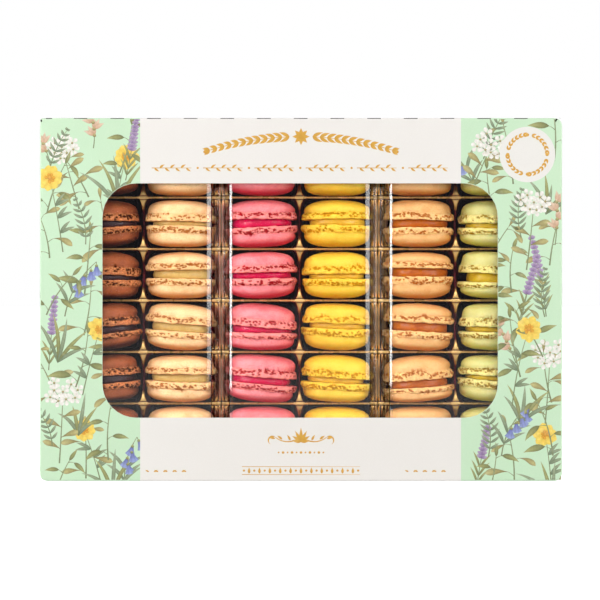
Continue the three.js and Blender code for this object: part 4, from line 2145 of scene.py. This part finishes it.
LEFT_FLOWERS = (
    Spot(BUTTERCUP, -104, 148, 6, 34), Spot(BUTTERCUP, -133, 128, -8, 42),
    Spot(STARFLOWER, -124, 152, -16, 36), Spot(BELLFLOWER, -132, 92, 10, 36),
    Spot(BUTTERCUP, -122, 48, 12, 38), Spot(LAVENDER, -141, 62, 4, 40),
    Spot(STARFLOWER, -135, 10, 4, 40), Spot(LAVENDER, -98, 168, 12, 34),
    Spot(BUTTERCUP, -112, 0, -14, 30), Spot(BELLFLOWER, -98, -6, -10, 32),
    Spot(ROSEBUD, -116, 186, 10, 18), Spot(ROSEBUD, -140, 176, -10, 22),
)
RIGHT_FLOWERS = (
    Spot(BELLFLOWER, 98, 160, -12, 38), Spot(STARFLOWER, 126, 118, 8, 38),
    Spot(LAVENDER, 137, 92, -6, 44), Spot(LAVENDER, 122, 84, 10, 42),
    Spot(BUTTERCUP, 118, 42, 6, 44), Spot(STARFLOWER, 136, 28, 6, 44),
    Spot(BELLFLOWER, 112, 14, 6, 34), Spot(ROSEBUD, 142, 132, 8, 24),
    Spot(BUTTERCUP, 140, -4, -4, 30), Spot(LAVENDER, 98, -4, 8, 34),
    Spot(STARFLOWER, 96, 164, 24, 26), Spot(ROSEBUD, 120, 66, -20, 22),
)
END_FLOWERS = (
    Spot(BUTTERCUP, -12, 20, 4, 44), Spot(LAVENDER, 8, 70, -6, 44),
    Spot(STARFLOWER, -4, 118, 6, 44), Spot(BELLFLOWER, 10, 140, -10, 40),
)
TOP_LEFT_FLOWERS = Spot(BUTTERCUP, -128, -18, 50, 26), Spot(LAVENDER, -110, 10, 70, 26)
TOP_RIGHT_FLOWERS = Spot(STARFLOWER, 112, -16, -40, 28), Spot(BELLFLOWER, 134, 10, -60, 30)


@dataclass(frozen=True)
class Panel:
    """One printed face: its bounds, the matrix that takes it to the carton, its seed and plants.

    The matrix takes the panel's flat directions, across, up and outwards, to the carton's.
    """

    name: str
    left: float
    right: float
    bottom: float
    top: float
    to_carton: Matrix
    seed: int
    plants: tuple[Spot, ...]


class Goldwork:
    """Draws the gold ornaments with a brush."""

    def __init__(self, brush: Brush) -> None:
        """Takes a brush.

        Args:
            brush: The brush.
        """
        self.leaf = partial(brush.stroke, LEAF, tone=GOLD_INK)
        self.stem = partial(brush.stroke, STEM, tone=GOLD_INK)
        self.curl = partial(brush.stroke, BLADE, tone=GOLD_INK)
        self.dot = partial(brush.dot, tone=GOLD_INK)

    def garland(self, x: float, z: float, half: float, rise: float) -> None:
        """Draws an arched garland of paired leaves that grow from a middle rosette.

        Args:
            x: Middle of the garland.
            z: Height of its ends.
            half: Half of its width.
            rise: How much higher its middle is.
        """
        for k in range(8):
            self.leaf((x, z + rise), 45 * k, 4.8, 2.3, layer=k % 2)
        for side in (-1, 1):
            before = None
            for k in range(12):
                share = (k + 1.6) / 12.6
                place = (x + side * half * share, z + rise * (1 - share**2))
                heading = side * math.degrees(math.atan2(half, -2 * rise * share))
                for spread in (-36, 36):
                    self.leaf(place, heading + spread, 6.6 - 2.4 * share, 1.9, bend=-spread * 0.6,
                              layer=1 + k % 2)
                if before:
                    self.stem(before, heading, math.dist(before, place), 0.6, layer=3)
                before = place
            self.dot((before[0] + side * 2.6, before[1] - 1.0), 2.0, layer=2)

    def sprig_row(self, z: float, half: float, count: int = 6) -> None:
        """Draws a row of lying sprigs with a dot between each two.

        Args:
            z: Height of the row.
            half: Half of its width.
            count: How many sprigs it has.
        """
        pitch = 2 * half / count
        for number in range(count):
            start = -half + pitch * number + 2.6
            self.stem((start, z), 90, pitch - 6.5, 0.45)
            for k in range(7):
                side = 1 if k % 2 else -1
                x = start + 1.5 + k * (pitch - 8) / 7
                self.leaf((x, z), 90 - side * 48, 3.4, 1.15, bend=side * 26, layer=1 + k % 2)
            if number:
                self.dot((start - 3.0, z), 1.3, layer=1)

    def fan(self, x: float, z: float) -> None:
        """Draws a fan of seven leaves between two curled stalks.

        Args:
            x: Middle of the fan.
            z: Height of its middle.
        """
        for k in range(-3, 4):
            self.leaf((x, z - 3.6), k * 24, 8.2 - abs(k) * 1.1, 1.9, bend=k * 8, layer=1 + k % 2)
        for side in (-1, 1):
            tip = self.stem((x + side * 3.5, z - 2.6), side * 112, 11.5, 0.8, bend=-side * 62)
            self.curl(tip, side * 50, 8.0, 0.9, bend=side * 190, layer=1)
            for out, turn in ((6.0, 20), (10.5, 44), (14.5, 70)):
                root = (x + side * out, z - 3.4 + out * 0.12)
                self.leaf(root, side * turn, 3.6, 1.3, bend=side * 20, layer=2)

    def dot_row(self, z: float) -> None:
        """Draws a short row of dots of two sizes."""
        for k in range(-5, 6):
            self.dot((k * 2.5, z), 1.0 if k % 2 else 1.5)

    def bead_row(self, z: float, half: float) -> None:
        """Draws a row of lozenges and beads between two fine rules.

        Args:
            z: Height of the row.
            half: Half of its width.
        """
        for rise in (-2.2, 2.2):
            self.stem((-half, z + rise), 90, 2 * half, 0.35)
        for k in range(-11, 12):
            if k % 2:
                self.dot((k * 2.9, z), 1.3, layer=1)
            else:
                self.leaf((k * 2.9, z - 1.7), 0, 3.4, 1.5, layer=1)

    def leaf_row(self, x: float, z: float) -> None:
        """Draws a short row of leaves that lean in turn to both sides.

        Args:
            x: Middle of the row.
            z: Height of its roots.
        """
        for k in range(-4, 5):
            self.leaf((x + k * 2.6, z), 65 if k % 2 else -65, 2.4, 0.9, layer=1)

    def wreath(self, x: float, z: float, radius: float, count: int = 28) -> None:
        """Draws a ring of paired leaves with a dot at each quarter.

        Args:
            x: Middle of the ring.
            z: Height of its middle.
            radius: Its radius.
            count: How many pairs and dots it has.
        """
        for k in range(count):
            turn = 360 * k / count
            angle = math.radians(turn)
            place = (x + radius * math.sin(angle), z + radius * math.cos(angle))
            if k % (count // 4) == 0:
                self.dot(place, 1.9, layer=5)
                continue
            for spread in (-38, 38):
                self.leaf(place, turn + 90 + spread, 2.9, 1.15, bend=-spread, layer=5 + k % 2)


@dataclass
class PrintMaker:
    """Prints the carton: plants on the mint fields, gold ornament on the cream and the roundel."""

    layer_base: float = 0.004
    fold_clear: float = 0.75
    flap_clear: float = 1.4
    edge_clear: float = 0.7
    window_clear: float = 0.15
    roundel_centre: Point = (126.5, 182.5)
    roundel_radius: float = 15.5
    roundel_rim: float = 4.0
    roundel_lift: float = 0.002
    wreath_radius: float = 11.0
    carton: CartonMaker = field(default_factory=CartonMaker)

    def build(self) -> None:
        """Prints every panel, the ornaments and the roundel."""
        brush = Brush()
        colours = PrintInk("botanical ink", 0.5, 0.48).build()
        gold = PrintInk("gold ink", 0.25, 0.4).build()
        panels = self._panels()
        for panel in panels:
            self._print_plants(brush, panel, colours)
        self._print_gold(brush, gold, panels[0].to_carton)
        self._print_roundel(brush, gold, panels[0].to_carton)
        brush.put_away()

    def _panels(self) -> list[Panel]:
        """Lists the printed faces of the carton, the front's left one first.

        Returns:
            The panels.
        """
        low, high = self.carton.low, self.carton.high
        skin = self.carton.skin_gap - self.layer_base
        front = Matrix(((1, 0, 0, 0), (0, 0, -1, low.y + skin), (0, 1, 0, 0), (0, 0, 0, 1)))
        back = Matrix(((-1, 0, 0, 0), (0, 0, 1, high.y - skin), (0, 1, 0, 0), (0, 0, 0, 1)))
        left = Matrix(((0, 0, -1, low.x + skin), (-1, 0, 0, 0), (0, 1, 0, 0), (0, 0, 0, 1)))
        right = Matrix(((0, 0, 1, high.x - skin), (1, 0, 0, 0), (0, 1, 0, 0), (0, 0, 0, 1)))
        top = Matrix(((1, 0, 0, 0), (0, 1, 0, 0), (0, 0, 1, high.z - skin), (0, 0, 0, 1)))
        edge, fold = high.x - self.edge_clear, self.fold_clear
        start, end = PrintedBoard().band_left, PrintedBoard().band_right
        height = (low.z + fold, high.z - fold)
        depth = (low.y + fold, high.y - fold)
        flap = (low.y + fold, high.y - self.flap_clear)
        return [
            Panel("front_left", -edge, start, *height, front, 5,
                  LEFT_FLOWERS + planted((-140, -122, -104), 27, 21)),
            Panel("front_right", end, edge, *height, front, 8,
                  RIGHT_FLOWERS + planted((104, 121, 139), 27, 33)),
            Panel("end_left", *depth, *height, left, 12, END_FLOWERS + planted((-16, 0, 16), 34, 44)),
            Panel("end_right", *depth, *height, right, 15, END_FLOWERS + planted((-15, 1, 15), 34, 52)),
            Panel("back_right", -edge, -end, *height, back, 17,
                  LEFT_FLOWERS[:10:2] + planted((-138, -119, -100), 34, 61)),
            Panel("back_left", -start, edge, *height, back, 19,
                  RIGHT_FLOWERS[::2] + planted((101, 119, 138), 34, 72)),
            Panel("top_left", -edge, start, *flap, top, 23,
                  TOP_LEFT_FLOWERS + planted((-138, -116, -96), 26, 83, -30, 22)),
            Panel("top_right", end, edge, *flap, top, 29,
                  TOP_RIGHT_FLOWERS + planted((100, 118, 138), 26, 91, -30, 22)),
        ]

    def _print_plants(self, brush: Brush, panel: Panel, ink: Material) -> None:
        """Prints one panel's plants and trims them to it.

        Args:
            brush: The brush.
            panel: The panel.
            ink: Material of the print.
        """
        herbarium = Herbarium(brush, panel.seed)
        for spot in panel.plants:
            herbarium.grow(spot)
        piece = brush.lift(f"print_{panel.name}")
        for place, outwards in (((panel.left, 0), (-1, 0)), ((panel.right, 0), (1, 0)),
                                ((0, panel.bottom), (0, -1)), ((0, panel.top), (0, 1))):
            self._bisect(piece, place, outwards, clear=True)
        if panel.name.startswith("front"):
            self._open_window(piece)
        if panel.name == "front_right":
            x, z = self.roundel_centre
            self._cut_round(piece, (x, z), self.roundel_radius, np.arange(16) * 22.5)
            self._drop(piece, lambda place: math.hypot(place.x - x, place.y - z) < self.roundel_radius)
        self._printed(piece, panel.to_carton, ink)

    @staticmethod
    def _bisect(piece: Object, place: Point, outwards: Point, clear: bool = False) -> None:
        """Cuts a flat print along a line.

        Args:
            piece: The print.
            place: A point on the line.
            outwards: The line's normal.
            clear: Whether what lies outside of the line is dropped.
        """
        with editing(piece):
            bpy.ops.mesh.bisect(
                plane_co=(place[0] * MM, place[1] * MM, 0), plane_no=(outwards[0], outwards[1], 0),
                clear_outer=clear, threshold=DOUBLES,
            )

    def _cut_round(self, piece: Object, centre: Point, radius: float, angles_deg: Sequence[float]) -> None:
        """Cuts a flat print along tangents of a circle.

        Args:
            piece: The print.
            centre: Centre of the circle.
            radius: Its radius.
            angles_deg: Where the tangents touch it, from the panel's right towards its top.
        """
        for angle in np.radians(angles_deg):
            out = (math.cos(angle), math.sin(angle))
            self._bisect(piece, (centre[0] + radius * out[0], centre[1] + radius * out[1]), out)

    @staticmethod
    def _drop(piece: Object, inside: Callable[[Vector], bool]) -> None:
        """Deletes the faces of a flat print whose middles lie in a shape.

        Args:
            piece: The print.
            inside: Tells whether a place lies in the shape.
        """
        with editing(piece):
            bpy.ops.mesh.select_mode(type="FACE")
            bpy.ops.mesh.select_all(action="DESELECT")
        for face in piece.data.polygons:
            face.select = inside(face.center / MM)
        bpy.ops.object.mode_set(mode="EDIT")
        bpy.ops.mesh.delete(type="FACE")
        bpy.ops.mesh.select_mode(type="VERT")
        bpy.ops.object.mode_set(mode="OBJECT")

    def _open_window(self, piece: Object) -> None:
        """Trims a front print round the window and its bare margin.

        Args:
            piece: The print.
        """
        hole = self.carton.window.grown(self.window_clear)
        middle_x, middle_z = self.carton.window_x, self.carton.window_z
        nearest = -1 if places(piece)[:, 0].mean() < 0 else 1
        radius = hole.corner_x
        for sign in (-1, 1):
            self._bisect(piece, (0, middle_z + sign * hole.top), (0, 1))
            centre = (middle_x + nearest * (hole.right - radius), middle_z + sign * (hole.top - radius))
            quarter = 5 + 10 * np.arange(9)
            self._cut_round(piece, centre, radius, sign * (quarter if nearest > 0 else 180 - quarter))
        self._bisect(piece, (middle_x + nearest * hole.right, 0), (1, 0))

        def inside(place: Vector) -> bool:
            """Tells whether a place lies in the rounded window.

            Args:
                place: The place.

            Returns:
                Whether it does.
            """
            over_x = abs(place.x - middle_x) - (hole.right - radius)
            over_z = abs(place.y - middle_z) - (hole.top - radius)
            if over_x < 0 or over_z < 0:
                return over_x < radius and over_z < radius
            return math.hypot(over_x, over_z) < radius

        self._drop(piece, inside)

    @staticmethod
    def _printed(piece: Object, to_carton: Matrix, ink: Material) -> None:
        """Takes a flat print to its face of the carton, with its faces outwards, and inks it.

        Args:
            piece: The print.
            to_carton: What takes it there.
            ink: Material of the print.
        """
        turn = to_carton.to_3x3()
        move_to(piece, places(piece) @ np.array(turn).T + np.array(to_carton.translation))
        if piece.data.polygons[0].normal.dot(turn @ Vector((0, 0, 1))) < 0:
            with editing(piece):
                bpy.ops.mesh.flip_normals()
        registered(dressed(piece, ink), "board")

    def _print_gold(self, brush: Brush, gold: Material, to_front: Matrix) -> None:
        """Prints the ornaments on the cream band above and below the window.

        Args:
            brush: The brush.
            gold: Material of the print.
            to_front: What takes a flat print to the front.
        """
        goldwork = Goldwork(brush)
        goldwork.garland(0.0, 185.0, 51.0, 7.5)
        goldwork.sprig_row(175.0, 86.0)
        goldwork.fan(0.0, 25.4)
        goldwork.dot_row(16.0)
        goldwork.bead_row(5.9, 33.0)
        for x in (-74.5, 70.5):
            goldwork.leaf_row(x, 5.2)
        self._printed(brush.lift("print_gold"), to_front, gold)

    def _print_roundel(self, brush: Brush, gold: Material, to_front: Matrix) -> None:
        """Prints the pale roundel and its wreath.

        Args:
            brush: The brush.
            gold: Material of the wreath.
            to_front: What takes a flat print to the front.
        """
        x, z = self.roundel_centre
        bpy.ops.mesh.primitive_circle_add(vertices=72, radius=self.roundel_radius * MM, fill_type="NGON")
        disc = newest("print_roundel")
        with editing(disc):
            bpy.ops.mesh.inset(thickness=self.roundel_rim * MM)
        move_to(disc, places(disc) + np.array((x, z, self.roundel_lift)))
        paper = RawBoard("roundel ink", srgb(226, 223, 217), srgb(220, 217, 211)).build()
        self._printed(disc, to_front, paper)
        Goldwork(brush).wreath(x, z, self.wreath_radius)
        self._printed(brush.lift("print_wreath"), to_front, gold)


@dataclass
class Studio:
    """The pale floor, the soft lights and the camera."""

    pixel: float = 0.5587
    camera_x: float = -0.56
    camera_y: float = -1324.0
    camera_z: float = 101.2
    image_pixels: int = 600

    def build(self) -> None:
        """Sets the floor, the world, the lights and the camera."""
        self._floor()
        self._world()
        self._light("key", (-0.12, -0.95, 1.25), (1.5, 0.9), 8.0)
        self._light("fill", (1.2, -1.3, 0.2), (0.8, 0.8), 6.8)
        self._light("side", (-1.25, -1.2, 0.25), (0.6, 0.6), 3.1)
        self._light("strip_left", (-0.75, -0.32, 0.2), (0.28, 0.36), 3.6)
        self._light("strip_right", (0.75, -0.32, 0.15), (0.28, 0.5), 3.0)
        self._light("back", (0.2, 1.3, 1.1), (1.4, 1.0), 8.0)
        self._camera()
        view = bpy.context.scene.view_settings
        view.view_transform = "Standard"
        view.look = "None"
        view.exposure = 0.0
        view.gamma = 1.0

    @staticmethod
    def _floor() -> None:
        """Lays a wide pale floor under the carton."""
        bpy.ops.mesh.primitive_plane_add(size=60.0)
        floor = newest("studio_floor")
        with editing(floor):
            bpy.ops.mesh.subdivide(number_cuts=3)
        shader = Shader("pale floor")
        grain = shader.out(shader.add("TexNoise", {"Scale": 40.0}))
        material = shader.finished(
            base_color=(0.5, 0.5, 0.5), roughness=0.9, specular_ior_level=0.1,
            emission_color=(1.0, 1.0, 1.0),
            emission_strength=shader.read("LightPath", "Is Camera Ray").ramp(0.0, 1.0, 0.1, 1.0),
            normal=shader.relief(grain, 0.05, 0.2),
        )
        dressed(floor, material)

    @staticmethod
    def _world() -> None:
        """Makes a world that is white to the eye, and dimmer as light and in reflections."""
        world = bpy.data.worlds.new("studio")
        bpy.context.scene.world = world
        world.use_nodes = True
        nodes = Nodes(world.node_tree)
        aside = nodes.axis("Y", "Generated").ramp(-0.994, -0.972)
        mirrored = nodes.mix(aside, (0.12, 0.11, 0.12), (1.7, 1.7, 1.72))
        soft = nodes.mix(nodes.read("LightPath", "Is Glossy Ray"), (0.31, 0.31, 0.32), mirrored)
        seen = nodes.mix(nodes.read("LightPath", "Is Camera Ray"), soft, (1.0, 1.0, 1.0))
        nodes.add("OutputWorld", {0: nodes.out(nodes.add("Background", {"Color": seen}))})

    @staticmethod
    def _light(name: str, place: tuple[float, float, float], size: Point, power: float) -> None:
        """Hangs one soft rectangular light that looks at the middle of the carton.

        Args:
            name: Its name.
            place: Where it hangs, in metres.
            size: Its width and height in metres.
            power: Its power in watts.
        """
        lamp = bpy.data.lights.new(name, "AREA")
        lamp.shape = "RECTANGLE"
        lamp.size, lamp.size_y = size
        lamp.energy = power
        light = bpy.data.objects.new(name, lamp)
        bpy.context.scene.collection.objects.link(light)
        light.location = place
        towards = Vector((0, 0, 0.1)) - Vector(place)
        light.rotation_euler = towards.to_track_quat("-Z", "Y").to_euler()

    def _camera(self) -> None:
        """Sets the camera level in front of the window, as far off as the photograph's was."""
        lens = bpy.data.cameras.new("camera")
        camera = bpy.data.objects.new("camera", lens)
        bpy.context.scene.collection.objects.link(camera)
        camera.location = Vector((self.camera_x, self.camera_y, self.camera_z)) * MM
        camera.rotation_euler = (math.pi / 2, 0, 0)
        low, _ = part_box("carton")
        distance = low.y / MM - self.camera_y
        half_view = self.pixel * self.image_pixels / 2
        lens.sensor_width = 36.0
        lens.lens = lens.sensor_width / 2 * distance / half_view
        lens.clip_start, lens.clip_end = 0.05, 100.0
        bpy.context.scene.camera = camera


def main() -> None:
    """Builds the carton and all that it holds, then the studio, and notes the sizes."""
    logging.basicConfig(level=logging.INFO, format="%(message)s")
    Studio().build()
    CartonMaker().build()
    PrintMaker().build()
    TrayMaker().build()
    LidMaker().build()
    MacaronMaker(ShellMaker()).build()


if __name__ == "__main__":
    main()
